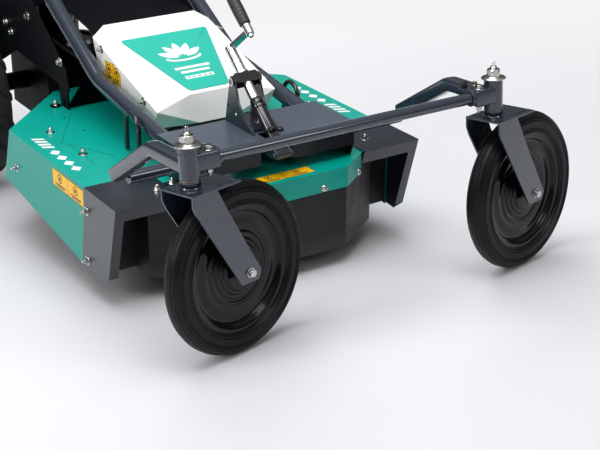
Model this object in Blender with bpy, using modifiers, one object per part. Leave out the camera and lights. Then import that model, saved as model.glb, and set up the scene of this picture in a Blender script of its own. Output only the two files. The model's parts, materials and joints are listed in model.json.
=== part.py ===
# Walk-behind mulching mower: a front rotary deck with a belt cover, two swivelling front casters
# on a hinged frame, a crank jack that sets the cutting height, and a powered rear end.
# Metres, +Z up, -Y is the front. The origin is the middle of the footprint on the floor.

import bmesh
import bpy
import numpy as np
from math import asin, atan2, cos, pi, radians, sin
from mathutils import Vector

# Frame of the chassis: it leans nose-down about the rear axle at this height setting
CHASSIS_PITCH = radians(4.9)
AXLE_Y = 1.660
DRIVE_RADIUS = 0.290

# Front casters
HEAD_SPACING = 0.830
HINGE_BACK = 0.352
HINGE_HEIGHT = 0.347
CASTER_RADIUS = 0.2003
CASTER_WIDTH = 0.050
CASTER_TRAIL = 0.1126
SWIVEL_LEFT = radians(14.26)
SWIVEL_RIGHT = radians(13.68)
FORK_HALF = 0.0503
FORK_PLATE = 0.0045
CROWN_TOP = 0.418
HEAD_RADIUS = 0.0225
HEAD_BOTTOM = 0.430
HEAD_TOP = 0.510
KINGPIN_RADIUS = 0.0125
AXLE_BOLT_RADIUS = 0.006
CROWN_LENGTH = 0.100
WASHER = 0.005
RIM_RADIUS = 0.146

# Caster frame
ARM_WIDTH = 0.038
ARM_DEPTH = 0.036
ARM_HEIGHT = 0.464
ARM_KNEE_BACK = 0.165
TORQUE_RADIUS = 0.0165
CROSS_RADIUS = 0.014
CROSS_HEIGHT = 0.474
BLOCK_SIZE = 0.040
BLOCK_REACH = 0.066
SOCKET_DEPTH = 0.020
ARM_TAIL = 0.016
ARM_TAIL_RISE = 0.0095

# Deck shell, in the chassis frame
DECK_TOP = 0.389
DECK_HALF = 0.4396
SHEET = 0.003
LIP_FRONT = 0.286
LIP_HALF = 0.180
LIP_DROP = 0.055
CHAMFER_BACK = 0.396
FAIRING_INNER = 0.268
DECK_NECK = 0.335
DECK_SHOULDER = 0.470
DECK_SIDE_BACK = 0.992
DECK_BACK = 1.222
DECK_BACK_HALF = 0.210
SIDE_LOW_FRONT = 0.159
SIDE_LOW_BACK = 0.232
WALL_LEAN = 0.060
BACK_LEAN = 0.042
BACK_LOW = 0.200
RUBBER = 0.005
SKIRT_BOTTOM = 0.166

# Side fairings
FAIRING_HALF = 0.4436
FAIRING_FRONT = 0.337
FAIRING_SEAM = 0.511
FAIRING_LIP = 0.036
FAIRING_RETURN = 0.026

# Front beam and frame tubes
BEAM_TOP = 0.483
BEAM_PLATE = 0.0045
BEAM_HALF = 0.2345
BEAM_FRONT = 0.336
BEAM_BACK = 0.524
BEAM_NOTCH = 0.046
JACK_NOTCH = 0.022
FLANGE_LOW = 0.420
TUBE_RADIUS = 0.02135
TUBE_X = 0.2075
TUBE_START = 0.387
TUBE_START_Z = 0.436
KNEE_Y = 0.901
KNEE_Z = 0.511
TUBE_RISE = radians(29.0)
HANDLE_KNEE_Y = 1.480
BEND_RADIUS = 0.090
GRIP_START_Y = 1.780
GRIP_START_Z = 0.930
GRIP_END_Y = 2.240
GRIP_END_Z = 1.000
GRIP_X = 0.300
GRIP_LENGTH = 0.130
GRIP_WALL = 0.004

# Jack
JACK_SLOPE = radians(39.5)
TRUNNION_Y = 0.485
TRUNNION_Z = 0.595
JACK_TUBE_RADIUS = 0.0135
JACK_TUBE_TOP = 0.102
SCREW_RADIUS = 0.009
FOOT_TUBE_RADIUS = 0.0155
FOOT_START = 0.082
FOOT_TAB = 0.066
COLLAR_RADIUS = 0.0195
SLEEVE_RADIUS = 0.015
TRUNNION_BLOCK = 0.034
TRUNNION_PIN = 0.008
CRANK_REACH = 0.074
CRANK_ANGLE = radians(66)
CRANK_LEVEL = 0.095
GRIP_BODY = 0.095
GRIP_PIN = 0.005
LEVER_REACH = 0.051
LEVER_PLATE = 0.006
EYE_HALF = 0.012
EYE_WIDTH = 0.034
EYE_SLACK = 0.001
EYE_RADIUS = 0.015
EAR_HALF = 0.036
EAR_PLATE = 0.005
PIN_RADIUS = 0.006

# Lashing hooks
HOOK_X = 0.240
HOOK_FRONT = 0.612
HOOK_SPAN = 0.070
HOOK_TOP = 0.499
HOOK_ROD = 0.006

# Belt drive and rotor
SPINDLE_Y = 0.754
ENGINE_Y = 1.520
SPINDLE_RADIUS = 0.0125
SPINDLE_HOLE = 0.040
HOUSING_FLANGE = 0.100
PULLEY_RADIUS = 0.095
ENGINE_PULLEY_RADIUS = 0.060
IDLER_RADIUS = 0.030
BELT_HEIGHT = 0.440
BELT_WIDTH = 0.013
BELT_THICK = 0.008
BELT_PLAY = 0.0008
ROTOR_RADIUS = 0.400
BLADE_HEIGHT = 0.226
BLADE_PIN_RADIUS = 0.240
BLADE_THICK = 0.005
BLADE_PIN = 0.009
BAR_THICK = 0.008
BAR_HALF = 0.270
IDLER_Y = 1.150
IDLER_PIVOT = (0.165, 1.075)
IDLER_PIN = 0.006
ARM_LEVEL = 0.403
ARM_SHEET = 0.006
ANCHOR_X = 0.200
ANCHOR_Y = 1.125

# Cover of the belt drive
COVER_HALF = 0.180
COVER_SHEET = 0.003

# Rear end
DRIVE_TRACK_HALF = 0.335
DRIVE_WIDTH = 0.140
DRIVE_RIM = 0.152
AXLE_RADIUS = 0.0125
PLATE_INNER = 0.2345
PLATE_SHEET = 0.005
TONGUE_Y = 1.385
BED_FRONT = 1.270
BED_BACK = 1.850
BED_HEIGHT = 0.640
BED_SHEET = 0.006
CASE_FRONT = 1.455
CASE_BACK = 1.790
CASE_HALF = 0.120
CASE_LOW = 0.170
CASE_TOP = 0.400

# Engine
CRANKCASE = 0.102
BLOWER_RADIUS = 0.150
STARTER_RADIUS = 0.085
STARTER_TRAVEL = 0.150
TANK_Y = 1.765
CAP_RADIUS = 0.033

# Controls
BRIDGE_Y = 1.950
PANEL = (0.300, 0.150, 0.050)
LEVER_X = 0.090
BAIL_X = 0.225
STEER_Y = 0.262
STEER_Z = -0.038
STEER_PIN = 0.003

GAP = 0.0003
BEARING_GAP = 0.0004


# Scene and materials

def clear_scene():
    for obj in list(bpy.data.objects):
        bpy.data.objects.remove(obj, do_unlink=True)


def make_collection(name):
    collection = bpy.data.collections.new(name)
    bpy.context.scene.collection.children.link(collection)
    return collection


def material(name, colour, roughness, metallic=0.0):
    shader = bpy.data.materials.new(name)
    shader.use_nodes = True
    node = shader.node_tree.nodes["Principled BSDF"]
    node.inputs["Base Color"].default_value = (*colour, 1.0)
    node.inputs["Roughness"].default_value = roughness
    node.inputs["Metallic"].default_value = metallic
    shader.diffuse_color = (*colour, 1.0)
    return shader


clear_scene()
PARTS = make_collection("mulching_mower")
CUTTERS = make_collection("cutters")

GREEN = material("deck_green", (0.0, 0.37, 0.26), 0.35)
SLATE = material("slate_paint", (0.045, 0.05, 0.07), 0.4)
WHITE = material("cover_white", (0.85, 0.85, 0.84), 0.35)
RUBBER_BLACK = material("rubber", (0.012, 0.012, 0.013), 0.8)
BLACK = material("black_paint", (0.01, 0.01, 0.011), 0.3)
ZINC = material("zinc_plate", (0.62, 0.61, 0.56), 0.35, 1.0)
CHROME = material("chrome", (0.8, 0.8, 0.8), 0.15, 1.0)
STEEL = material("bare_steel", (0.4, 0.4, 0.4), 0.4, 1.0)
CAST = material("cast_aluminium", (0.45, 0.45, 0.46), 0.55, 1.0)
PLASTIC = material("black_plastic", (0.02, 0.02, 0.022), 0.5)


# Placing and joining

def empty(name, parent, location=(0, 0, 0), rotation=(0, 0, 0)):
    obj = bpy.data.objects.new(name, None)
    PARTS.objects.link(obj)
    obj.parent = parent
    obj.location = location
    obj.rotation_euler = rotation
    return obj


def add(name, data, shader, parent, location=(0, 0, 0), rotation=(0, 0, 0)):
    obj = bpy.data.objects.new(name, data)
    PARTS.objects.link(obj)
    obj.parent = parent
    obj.location = location
    obj.rotation_euler = rotation
    if shader is not None:
        data.materials.append(shader)
    return obj


def mesh_of(name, bm, smooth_angle=None):
    mesh = bpy.data.meshes.new(name)
    bm.to_mesh(mesh)
    bm.free()
    if smooth_angle is not None:
        mesh.shade_smooth()
        mesh.set_sharp_from_angle(angle=radians(smooth_angle))
    return mesh


def settled_mesh(obj):
    # The evaluated shape as a mesh with its caps and seams welded and its faces outward
    bpy.context.view_layer.update()
    graph = bpy.context.evaluated_depsgraph_get()
    mesh = bpy.data.meshes.new_from_object(obj.evaluated_get(graph))
    bm = bmesh.new()
    bm.from_mesh(mesh)
    wide = [face for face in bm.faces if len(face.verts) > 4]
    bmesh.ops.triangulate(bm, faces=wide, ngon_method="EAR_CLIP")
    bmesh.ops.remove_doubles(bm, verts=bm.verts, dist=0.00001)
    bmesh.ops.recalc_face_normals(bm, faces=bm.faces)
    bm.to_mesh(mesh)
    bm.free()
    return mesh


def to_mesh(obj):
    mesh = settled_mesh(obj)
    solid = bpy.data.objects.new(obj.name, mesh)
    PARTS.objects.link(solid)
    solid.parent = obj.parent
    solid.matrix_parent_inverse = obj.matrix_parent_inverse
    solid.location = obj.location
    solid.rotation_euler = obj.rotation_euler
    name = obj.name
    bpy.data.objects.remove(obj, do_unlink=True)
    solid.name = name
    return solid


def boolean(base, tool, operation):
    tool.hide_render = True
    tool.display_type = "WIRE"
    PARTS.objects.unlink(tool)
    CUTTERS.objects.link(tool)
    step = base.modifiers.new(operation.lower(), "BOOLEAN")
    step.operation = operation
    step.solver = "EXACT"
    step.object = tool
    base = to_mesh(base)
    bpy.data.objects.remove(tool, do_unlink=True)
    return base


def fuse(base, *others):
    base = to_mesh(base)
    for other in others:
        base = boolean(base, to_mesh(other), "UNION")
    return base


def cut(base, *tools):
    base = to_mesh(base)
    for tool in tools:
        base = boolean(base, to_mesh(tool), "DIFFERENCE")
    return base


# Basic shapes

def box(name, size, location, parent, shader, edge=0.0, rotation=(0, 0, 0)):
    bm = bmesh.new()
    bmesh.ops.create_cube(bm, size=1.0)
    bmesh.ops.scale(bm, vec=size, verts=bm.verts)
    obj = add(name, mesh_of(name, bm), shader, parent, location, rotation)
    if edge > 0:
        bevel = obj.modifiers.new("edges", "BEVEL")
        bevel.width = edge
        bevel.segments = 1
        bevel.limit_method = "ANGLE"
    return obj


TURN = {"X": (0, pi / 2, 0), "Y": (-pi / 2, 0, 0), "Z": (0, 0, 0)}


def rod(name, radius, length, location, parent, shader, axis="Z", sides=16):
    bm = bmesh.new()
    bmesh.ops.create_cone(bm, cap_ends=True, segments=sides, radius1=radius,
                          radius2=radius, depth=length)
    return add(name, mesh_of(name, bm, 40), shader, parent, location, TURN[axis])


def turned(name, profile, location, parent, shader, axis="Z", sides=32, rotation=None):
    # The profile lists (radius, height) down the outer side, from the top to the bottom
    bm = bmesh.new()
    verts = [bm.verts.new((r, 0, z)) for r, z in profile]
    for a, b in zip(verts, verts[1:]):
        bm.edges.new((a, b))
    obj = add(name, mesh_of(name, bm), shader, parent, location,
              TURN[axis] if rotation is None else rotation)
    screw = obj.modifiers.new("turn", "SCREW")
    screw.axis = "Z"
    screw.angle = 2 * pi
    screw.steps = sides
    screw.render_steps = sides
    screw.use_merge_vertices = True
    screw.merge_threshold = 0.00001
    screw.use_smooth_shade = True
    return obj


def ring(name, profile, *rest, **more):
    # A turned piece with a bore: the profile is a closed loop
    return turned(name, profile + profile[:1], *rest, **more)


def filleted(points, radius, steps=5):
    # A route through the points, with an arc at each inner corner
    points = [Vector(p) for p in points]
    route = [points[0]]
    for before, corner, after in zip(points, points[1:], points[2:]):
        a = (before - corner).normalized()
        b = (after - corner).normalized()
        half = a.angle(b) / 2
        reach = radius / max(np.tan(half), 0.01)
        centre = corner + (a + b).normalized() * (radius / sin(half))
        start = corner + a * reach - centre
        end = corner + b * reach - centre
        for k in range(steps + 1):
            route.append(centre + start.slerp(end, k / steps).normalized() * radius)
    route.append(points[-1])
    return route


def tube(name, points, radius, parent, shader, location=(0, 0, 0), resolution=4):
    curve = bpy.data.curves.new(name, "CURVE")
    curve.dimensions = "3D"
    curve.bevel_depth = radius
    curve.bevel_resolution = resolution
    curve.use_fill_caps = True
    spline = curve.splines.new("POLY")
    spline.points.add(len(points) - 1)
    for point, place in zip(spline.points, points):
        point.co = (*place, 1.0)
    return add(name, curve, shader, parent, location)


SIDE_ON = (pi / 2, 0, pi / 2)
FACE_ON = (pi / 2, 0, 0)
FLAT = (0, 0, 0)


def circle_points(x, y, radius, count=16):
    return [(x + radius * cos(2 * pi * k / count), y + radius * sin(2 * pi * k / count))
            for k in range(count)]


def arc_points(x, y, radius, start, end, count=8):
    angles = [start + (end - start) * k / count for k in range(count + 1)]
    return [(x + radius * cos(a), y + radius * sin(a)) for a in angles]


def plate(name, outline, thickness, location, parent, shader, rotation=SIDE_ON, holes=(),
          edge=0.0):
    # A flat outline in its own plane: side on it is (y, z), face on (x, z) and flat (x, y)
    curve = bpy.data.curves.new(name, "CURVE")
    curve.dimensions = "2D"
    curve.fill_mode = "BOTH"
    curve.extrude = thickness / 2 - edge
    curve.bevel_depth = edge
    curve.bevel_resolution = 1
    curve.offset = -edge
    for loop in [outline, *holes]:
        spline = curve.splines.new("POLY")
        spline.points.add(len(loop) - 1)
        for point, (x, y) in zip(spline.points, loop):
            point.co = (x, y, 0.0, 1.0)
        spline.use_cyclic_u = True
    return add(name, curve, shader, parent, location, rotation)


def sheet(name, bm, thickness, parent, shader, mirror=False):
    # Thickened inward from its outer faces; the flattest face is the top
    bmesh.ops.recalc_face_normals(bm, faces=bm.faces)
    top = max(bm.faces, key=lambda face: abs(face.normal.z))
    if top.normal.z < 0:
        bmesh.ops.reverse_faces(bm, faces=bm.faces)
    obj = add(name, mesh_of(name, bm), shader, parent)
    if mirror:
        half = obj.modifiers.new("mirror", "MIRROR")
        half.merge_threshold = 0.00001
    wall = obj.modifiers.new("sheet", "SOLIDIFY")
    wall.thickness = thickness
    wall.offset = -1.0
    wall.use_even_offset = True
    wall.use_quality_normals = True
    return obj


def hex_head(name, location, parent, rotation=(0, 0, 0), across=0.017, height=0.007):
    body = across / 3 ** 0.5
    profile = [(0, height), (body * 0.85, height), (body, height * 0.8), (body, 0), (0, 0)]
    return turned(name, profile, location, parent, ZINC, sides=6, rotation=rotation)


# Places that several pieces share

def drawing_place(y, z):
    # A point over the floor, seen in the level drawing frame of the chassis
    back = (y - AXLE_Y) * cos(CHASSIS_PITCH) + (z - DRIVE_RADIUS) * sin(CHASSIS_PITCH)
    up = -(y - AXLE_Y) * sin(CHASSIS_PITCH) + (z - DRIVE_RADIUS) * cos(CHASSIS_PITCH)
    return AXLE_Y + back, DRIVE_RADIUS + up


HINGE_Y, HINGE_Z = drawing_place(HINGE_BACK, HINGE_HEIGHT)


def side_low(y):
    # Lower edge of the deck's side, which climbs toward the rear
    share = (y - DECK_SHOULDER) / (DECK_SIDE_BACK + WALL_LEAN - DECK_SHOULDER)
    return SIDE_LOW_FRONT + (SIDE_LOW_BACK - SIDE_LOW_FRONT) * share


def jack_place(along):
    # A point on the jack's axis, measured up from the trunnion
    return TRUNNION_Y + along * cos(JACK_SLOPE), TRUNNION_Z + along * sin(JACK_SLOPE)


floor_frame = empty("mower_origin", None)
chassis = empty("chassis_frame", floor_frame,
                (0, AXLE_Y, DRIVE_RADIUS), (CHASSIS_PITCH, 0, 0))
drawing = empty("chassis_drawing", chassis, (0, -AXLE_Y, -DRIVE_RADIUS))


# Deck

def deck_shell():
    # Top sheet by its outline, then each edge is pulled down into a wall of its own depth
    chamfer = (CHAMFER_BACK - LIP_FRONT) / (DECK_NECK - LIP_HALF)
    corner = FAIRING_INNER - 0.004
    outline = [(0, LIP_FRONT), (LIP_HALF, LIP_FRONT),
               (corner, LIP_FRONT + chamfer * (corner - LIP_HALF)),
               (DECK_NECK, CHAMFER_BACK), (DECK_NECK, DECK_SHOULDER), (DECK_HALF, DECK_SHOULDER),
               (DECK_HALF, DECK_SIDE_BACK), (DECK_BACK_HALF, DECK_BACK), (0, DECK_BACK)]
    lip = DECK_TOP - LIP_DROP
    back_x = DECK_HALF - (DECK_BACK + BACK_LEAN - DECK_SIDE_BACK - WALL_LEAN)
    low = {0: (0, LIP_FRONT, lip), 1: (LIP_HALF, LIP_FRONT, lip),
           2: (outline[2][0], outline[2][1], lip),
           5: (DECK_HALF, DECK_SHOULDER, side_low(DECK_SHOULDER)),
           6: (DECK_HALF, DECK_SIDE_BACK + WALL_LEAN, SIDE_LOW_BACK),
           7: (back_x, DECK_BACK + BACK_LEAN, BACK_LOW), 8: (0, DECK_BACK + BACK_LEAN, BACK_LOW)}
    bm = bmesh.new()
    top = [bm.verts.new((x, y, DECK_TOP)) for x, y in outline]
    bm.faces.new(top)
    bottom = {k: bm.verts.new(place) for k, place in low.items()}
    for k in (0, 1, 5, 6, 7):
        bm.faces.new((top[k], top[k + 1], bottom[k + 1], bottom[k]))
    shell = sheet("deck_shell", bm, SHEET, drawing, GREEN, mirror=True)
    hole = rod("spindle_hole", SPINDLE_HOLE, 0.02, (0, SPINDLE_Y, DECK_TOP), drawing, None, sides=20)
    return fuse(cut(shell, hole), *lashing_hooks(), *cover_posts(), *deck_studs())


def lashing_hooks():
    # A round-bar loop welded to the deck beside each frame tube
    hooks = []
    foot = DECK_TOP - 0.001
    for side in (-1, 1):
        x = side * HOOK_X
        legs = [(x, HOOK_FRONT, foot), (x, HOOK_FRONT, HOOK_TOP), (x, HOOK_FRONT + HOOK_SPAN, HOOK_TOP),
                (x, HOOK_FRONT + HOOK_SPAN, foot)]
        route = filleted(legs, HOOK_SPAN * 0.49, 4)
        hooks.append(tube("lashing_hook", route, HOOK_ROD, drawing, None, resolution=1))
    return hooks


def cover_posts():
    # Four posts welded to the deck hold the belt cover from below
    low = DECK_TOP - 0.001
    return [rod("post", 0.008, top - low, (side * x, y, (top + low) / 2), drawing, None, sides=10)
            for x, y, top in ((0.045, 0.930, 0.600), (0.125, 0.690, 0.512)) for side in (-1, 1)]


def deck_studs():
    # Shoulder stud of the idler arm, and the block where the clutch cable ends
    low = DECK_TOP - 0.001
    seat = ARM_LEVEL - ARM_SHEET / 2 - GAP
    shoulder = ARM_LEVEL + ARM_SHEET / 2 + GAP
    spacer = rod("spacer", 0.011, seat - low, (*IDLER_PIVOT, (seat + low) / 2), drawing, None)
    stud = rod("stud", IDLER_PIN, shoulder + 0.004 - low, (*IDLER_PIVOT, (shoulder + 0.004 + low) / 2),
               drawing, None)
    head = hex_head("head", (*IDLER_PIVOT, shoulder), drawing)
    anchor = box("anchor", (0.016, 0.014, 0.034), (ANCHOR_X, ANCHOR_Y, low + 0.017), drawing, None)
    return [spacer, stud, head, anchor]


def fairing(side):
    # Folded corner guard: top, outer side, front lip and a return down the front edge
    name = "fairing_left" if side < 0 else "fairing_right"
    top = DECK_TOP + GAP + SHEET
    outer = FAIRING_HALF
    front_low = (FAIRING_FRONT + 0.060, 0.187)
    tip = (0.435, 0.158)
    seam_low = (FAIRING_SEAM + 0.039, 0.169)
    bm = bmesh.new()

    def point(x, y, z):
        return bm.verts.new((side * x, y, z))

    top_inner_front = point(FAIRING_INNER, FAIRING_FRONT, top)
    top_outer_front = point(outer, FAIRING_FRONT, top)
    top_outer_back = point(outer, FAIRING_SEAM, top)
    top_inner_back = point(FAIRING_INNER, FAIRING_SEAM, top)
    lip_y = FAIRING_FRONT + 0.060 * FAIRING_LIP / (top - 0.187)
    lip_inner = point(FAIRING_INNER, lip_y, top - FAIRING_LIP)
    lip_outer = point(outer, lip_y, top - FAIRING_LIP)
    side_front = point(outer, *front_low)
    side_tip = point(outer, *tip)
    side_back = point(outer, *seam_low)
    fold_top = point(outer - FAIRING_RETURN, lip_y, top - FAIRING_LIP)
    fold_low = point(outer - FAIRING_RETURN, *front_low)
    bm.faces.new((top_inner_front, top_outer_front, top_outer_back, top_inner_back))
    bm.faces.new((top_inner_front, lip_inner, fold_top, lip_outer, top_outer_front))
    bm.faces.new((top_outer_back, top_outer_front, lip_outer, side_front, side_tip, side_back))
    bm.faces.new((lip_outer, fold_top, fold_low, side_front))
    return sheet(name, bm, SHEET, drawing, SLATE)


def skirt(name, route, top, bottom, shader=RUBBER_BLACK):
    # A rubber strip that follows a route seen from above
    bm = bmesh.new()
    upper = [bm.verts.new((x, y, top)) for x, y in route]
    lower = [bm.verts.new((x, y, bottom)) for x, y in route]
    for k in range(len(route) - 1):
        bm.faces.new((upper[k], upper[k + 1], lower[k + 1], lower[k]))
    obj = add(name, mesh_of(name, bm), shader, drawing)
    wall = obj.modifiers.new("rubber", "SOLIDIFY")
    wall.thickness = RUBBER
    wall.offset = 0.0
    wall.use_even_offset = True
    wall.use_quality_normals = True
    return obj


def deck_skirts():
    top = DECK_TOP - SHEET - GAP
    half = RUBBER / 2
    inset = SHEET + GAP + half
    chamfer = (CHAMFER_BACK - LIP_FRONT) / (DECK_NECK - LIP_HALF)
    corner_x = LIP_HALF - inset * 0.35
    end_x = DECK_NECK - inset
    end_y = LIP_FRONT + inset + chamfer * (end_x - corner_x)
    side_x = DECK_HALF - SHEET - GAP - 0.004
    right = [(corner_x, LIP_FRONT + inset), (end_x, end_y), (end_x, DECK_SHOULDER + inset),
             (side_x, DECK_SHOULDER + inset)]
    route = [(-x, y) for x, y in reversed(right)] + right
    skirt("front_skirt", route, top, SKIRT_BOTTOM)
    back_y = DECK_BACK + BACK_LEAN + GAP + half
    flap_x = DECK_HALF - (DECK_BACK + BACK_LEAN - DECK_SIDE_BACK - WALL_LEAN) - 0.004
    skirt("rear_flap", [(-flap_x, back_y), (flap_x, back_y)], BACK_LOW + 0.060, BACK_LOW - 0.085)


def belt_cover():
    # Faceted sheet cover: half of it by its fold corners, then mirrored
    corners = {
        "ridge_back": (0, 1.004, 0.630), "top_back": (0.141, 1.004, 0.630),
        "side_back": (COVER_HALF, 0.992, 0.606), "side_back_low": (COVER_HALF, 0.957, 0.507),
        "fold": (COVER_HALF, 0.930, 0.588), "ridge_front": (0, 0.655, 0.518),
        "top_front": (0.066, 0.655, 0.518), "side_front": (COVER_HALF - 0.002, 0.628, 0.497),
        "side_front_low": (COVER_HALF - 0.009, 0.652, 0.443),
        "nose_low": (0.050, 0.633, 0.443), "nose_low_middle": (0, 0.633, 0.443)}
    folds = [("ridge_back", "top_back", "top_front", "ridge_front"),
             ("top_back", "fold", "side_front", "top_front"),
             ("top_back", "side_back", "fold"),
             ("fold", "side_back", "side_back_low"),
             ("fold", "side_back_low", "side_front_low", "side_front"),
             ("ridge_front", "top_front", "nose_low", "nose_low_middle"),
             ("top_front", "side_front", "nose_low"),
             ("side_front", "side_front_low", "nose_low")]
    bm = bmesh.new()
    verts = {name: bm.verts.new(place) for name, place in corners.items()}
    for fold in folds:
        bm.faces.new([verts[name] for name in fold])
    return sheet("belt_cover", bm, COVER_SHEET, drawing, WHITE, mirror=True)


# Frame tubes, front beam and jack yoke

def knee_height(y):
    # Height of the frame tube's axis behind its knee
    return KNEE_Z + (y - KNEE_Y) * sin(TUBE_RISE) / cos(TUBE_RISE)


GRIP_SLOPE = atan2(GRIP_END_Z - GRIP_START_Z, GRIP_END_Y - GRIP_START_Y)
GRIP_RUN = (GRIP_END_Y - GRIP_START_Y) / cos(GRIP_SLOPE)
grip_frames = {label: empty("grip_frame_" + label, drawing, (side * GRIP_X, GRIP_START_Y, GRIP_START_Z),
                            (GRIP_SLOPE, 0, 0)) for side, label in ((-1, "left"), (1, "right"))}


def frame_tube(side):
    label = "left" if side < 0 else "right"
    corners = [(side * TUBE_X, TUBE_START, TUBE_START_Z), (side * TUBE_X, KNEE_Y, KNEE_Z),
               (side * TUBE_X, HANDLE_KNEE_Y, knee_height(HANDLE_KNEE_Y)),
               (side * GRIP_X, GRIP_START_Y, GRIP_START_Z), (side * GRIP_X, GRIP_END_Y, GRIP_END_Z)]
    body = tube("frame_tube_" + label, filleted(corners, BEND_RADIUS, 2), TUBE_RADIUS, drawing, SLATE,
                resolution=2)
    return fuse(body, *steering_ears(grip_frames[label]))


def steering_ears(frame):
    # Two lugs welded under the tube, with the pin of the steering lever
    top = 0.003 - TUBE_RADIUS
    ear = [(STEER_Y - 0.010, top), (STEER_Y - 0.010, STEER_Z), (STEER_Y - 0.005, STEER_Z - 0.009),
           (STEER_Y + 0.005, STEER_Z - 0.009), (STEER_Y + 0.010, STEER_Z), (STEER_Y + 0.010, top)]
    lugs = [plate("ear", ear, 0.003, (x, 0, 0), frame, None) for x in (-0.006, 0.006)]
    pin = rod("pin", STEER_PIN, 0.016, (0, STEER_Y, STEER_Z), frame, None, axis="X", sides=10)
    return [*lugs, pin]


def bar_outline(path, half):
    # Both edges of a bent flat bar whose middle line is the path
    path = [Vector(p) for p in path]
    upper, lower = [], []
    for k, here in enumerate(path):
        ahead = (path[k + 1] - here).normalized() if k + 1 < len(path) else None
        behind = (here - path[k - 1]).normalized() if k > 0 else None
        along = ahead if behind is None else behind if ahead is None else (ahead + behind).normalized()
        across = Vector((-along.y, along.x))
        mitre = half if ahead is None or behind is None else half / along.dot(ahead)
        upper.append(tuple(here + across * mitre))
        lower.append(tuple(here - across * mitre))
    return upper + lower[::-1]


def front_beam():
    # Folded cross plate over the frame tubes, with end plates that carry the caster frame
    under = BEAM_TOP - BEAM_PLATE
    notch_back = BEAM_FRONT + 0.056
    top = [(-BEAM_HALF, BEAM_FRONT), (-JACK_NOTCH, BEAM_FRONT), (-JACK_NOTCH, notch_back),
           (JACK_NOTCH, notch_back), (JACK_NOTCH, BEAM_FRONT), (BEAM_HALF, BEAM_FRONT),
           (BEAM_HALF, BEAM_BACK), (-BEAM_HALF, BEAM_BACK)]
    beam = plate("front_beam", top, BEAM_PLATE, (0, 0, BEAM_TOP - BEAM_PLATE / 2), drawing, SLATE,
                 rotation=FLAT)
    foot = DECK_TOP + GAP
    front = BEAM_FRONT + 0.0012
    back = BEAM_BACK - 0.0012
    end = [(front, FLANGE_LOW), (front, BEAM_TOP - 0.001), (back, BEAM_TOP - 0.001),
           (back, BEAM_TOP - 0.040), (BEAM_BACK - 0.050, foot), (BEAM_FRONT + 0.015, foot)]
    bore = circle_points(HINGE_Y, HINGE_Z, TORQUE_RADIUS + BEARING_GAP, 14)
    more = []
    for side in (-1, 1):
        x = side * (BEAM_HALF - BEAM_PLATE / 2 - 0.0006)
        more.append(plate("end", end, BEAM_PLATE, (x, 0, 0), drawing, None, holes=[bore]))
        low = FLANGE_LOW + 0.0008
        flange = [(side * BEAM_NOTCH, low), (side * (BEAM_HALF - 0.002), low),
                  (side * (BEAM_HALF - 0.002), under + 0.001), (side * BEAM_NOTCH, under + 0.001)]
        more.append(plate("flange", flange, BEAM_PLATE, (0, BEAM_FRONT + BEAM_PLATE / 2 + 0.0005, 0),
                          drawing, None, rotation=FACE_ON))
    return fuse(beam, *more)


def jack_yoke():
    base = BEAM_TOP + GAP
    toe = BEAM_FRONT + 0.048
    heel = BEAM_BACK - 0.002
    eye = arc_points(TRUNNION_Y, TRUNNION_Z, EYE_RADIUS, radians(-20), radians(200), 8)
    bow = [(TRUNNION_Y - 0.031, TRUNNION_Z - 0.050), (TRUNNION_Y - 0.056, TRUNNION_Z - 0.085)]
    ear = [(heel, base), *eye, *bow, (toe, base + 0.004), (toe, base)]
    holes = [circle_points(TRUNNION_Y, TRUNNION_Z, TRUNNION_PIN + BEARING_GAP, 12),
             circle_points(TRUNNION_Y + 0.020, TRUNNION_Z - 0.066, 0.0045, 8),
             circle_points(TRUNNION_Y - 0.008, TRUNNION_Z - 0.086, 0.0045, 8)]
    ears = [plate("ear", ear, EAR_PLATE, (side * EAR_HALF, 0, 0), drawing, BLACK, holes=holes)
            for side in (-1, 1)]
    floor_length = heel - toe - 0.020
    floor = box("jack_yoke", (2 * EAR_HALF, floor_length, 0.005),
                (0, heel - 0.001 - floor_length / 2, base + 0.003), drawing, BLACK)
    return fuse(floor, *ears)


# Caster frame: two arms on a torque tube, joined in front by the cross tube

caster_frame = empty("caster_frame_hinge", drawing, (0, HINGE_Y, HINGE_Z), (-CHASSIS_PITCH, 0, 0))


def lever_pin():
    # Where the jack's axis meets the circle of the lever's eye, measured down from the trunnion
    back, up = TRUNNION_Y - HINGE_Y, TRUNNION_Z - HINGE_Z
    middle = back * cos(JACK_SLOPE) + up * sin(JACK_SLOPE)
    drop = middle + (middle ** 2 - back ** 2 - up ** 2 + LEVER_REACH ** 2) ** 0.5
    y, z = jack_place(-drop)
    return drop, y - HINGE_Y, z - HINGE_Z


FOOT_DROP, PIN_Y, PIN_Z = lever_pin()


def torque_tube():
    reach = HEAD_SPACING / 2 - ARM_WIDTH / 2 - GAP
    shaft = rod("torque_tube", TORQUE_RADIUS, 2 * reach, (0, 0, 0), caster_frame, SLATE, axis="X",
                sides=14)
    # The lever is drawn in the leaning chassis frame, so it turns back by the pitch
    aim = atan2(PIN_Z, PIN_Y) + CHASSIS_PITCH
    pin = (LEVER_REACH * cos(aim), LEVER_REACH * sin(aim))
    hub = arc_points(0, 0, TORQUE_RADIUS + 0.0025, aim + radians(100), aim + radians(260), 4)
    nose = arc_points(*pin, EYE_HALF, aim - radians(80), aim + radians(80), 4)
    sides = []
    for side in (-1, 1):
        x = side * (EYE_WIDTH / 2 + 0.0005 + LEVER_PLATE / 2)
        sides.append(plate("lever", hub + nose, LEVER_PLATE, (x, 0, 0), caster_frame, None))
    bolt = rod("pin", PIN_RADIUS, EYE_WIDTH + 2 * LEVER_PLATE + 0.012, (0, *pin), caster_frame, None,
               axis="X", sides=12)
    return fuse(shaft, *sides, bolt)


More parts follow.
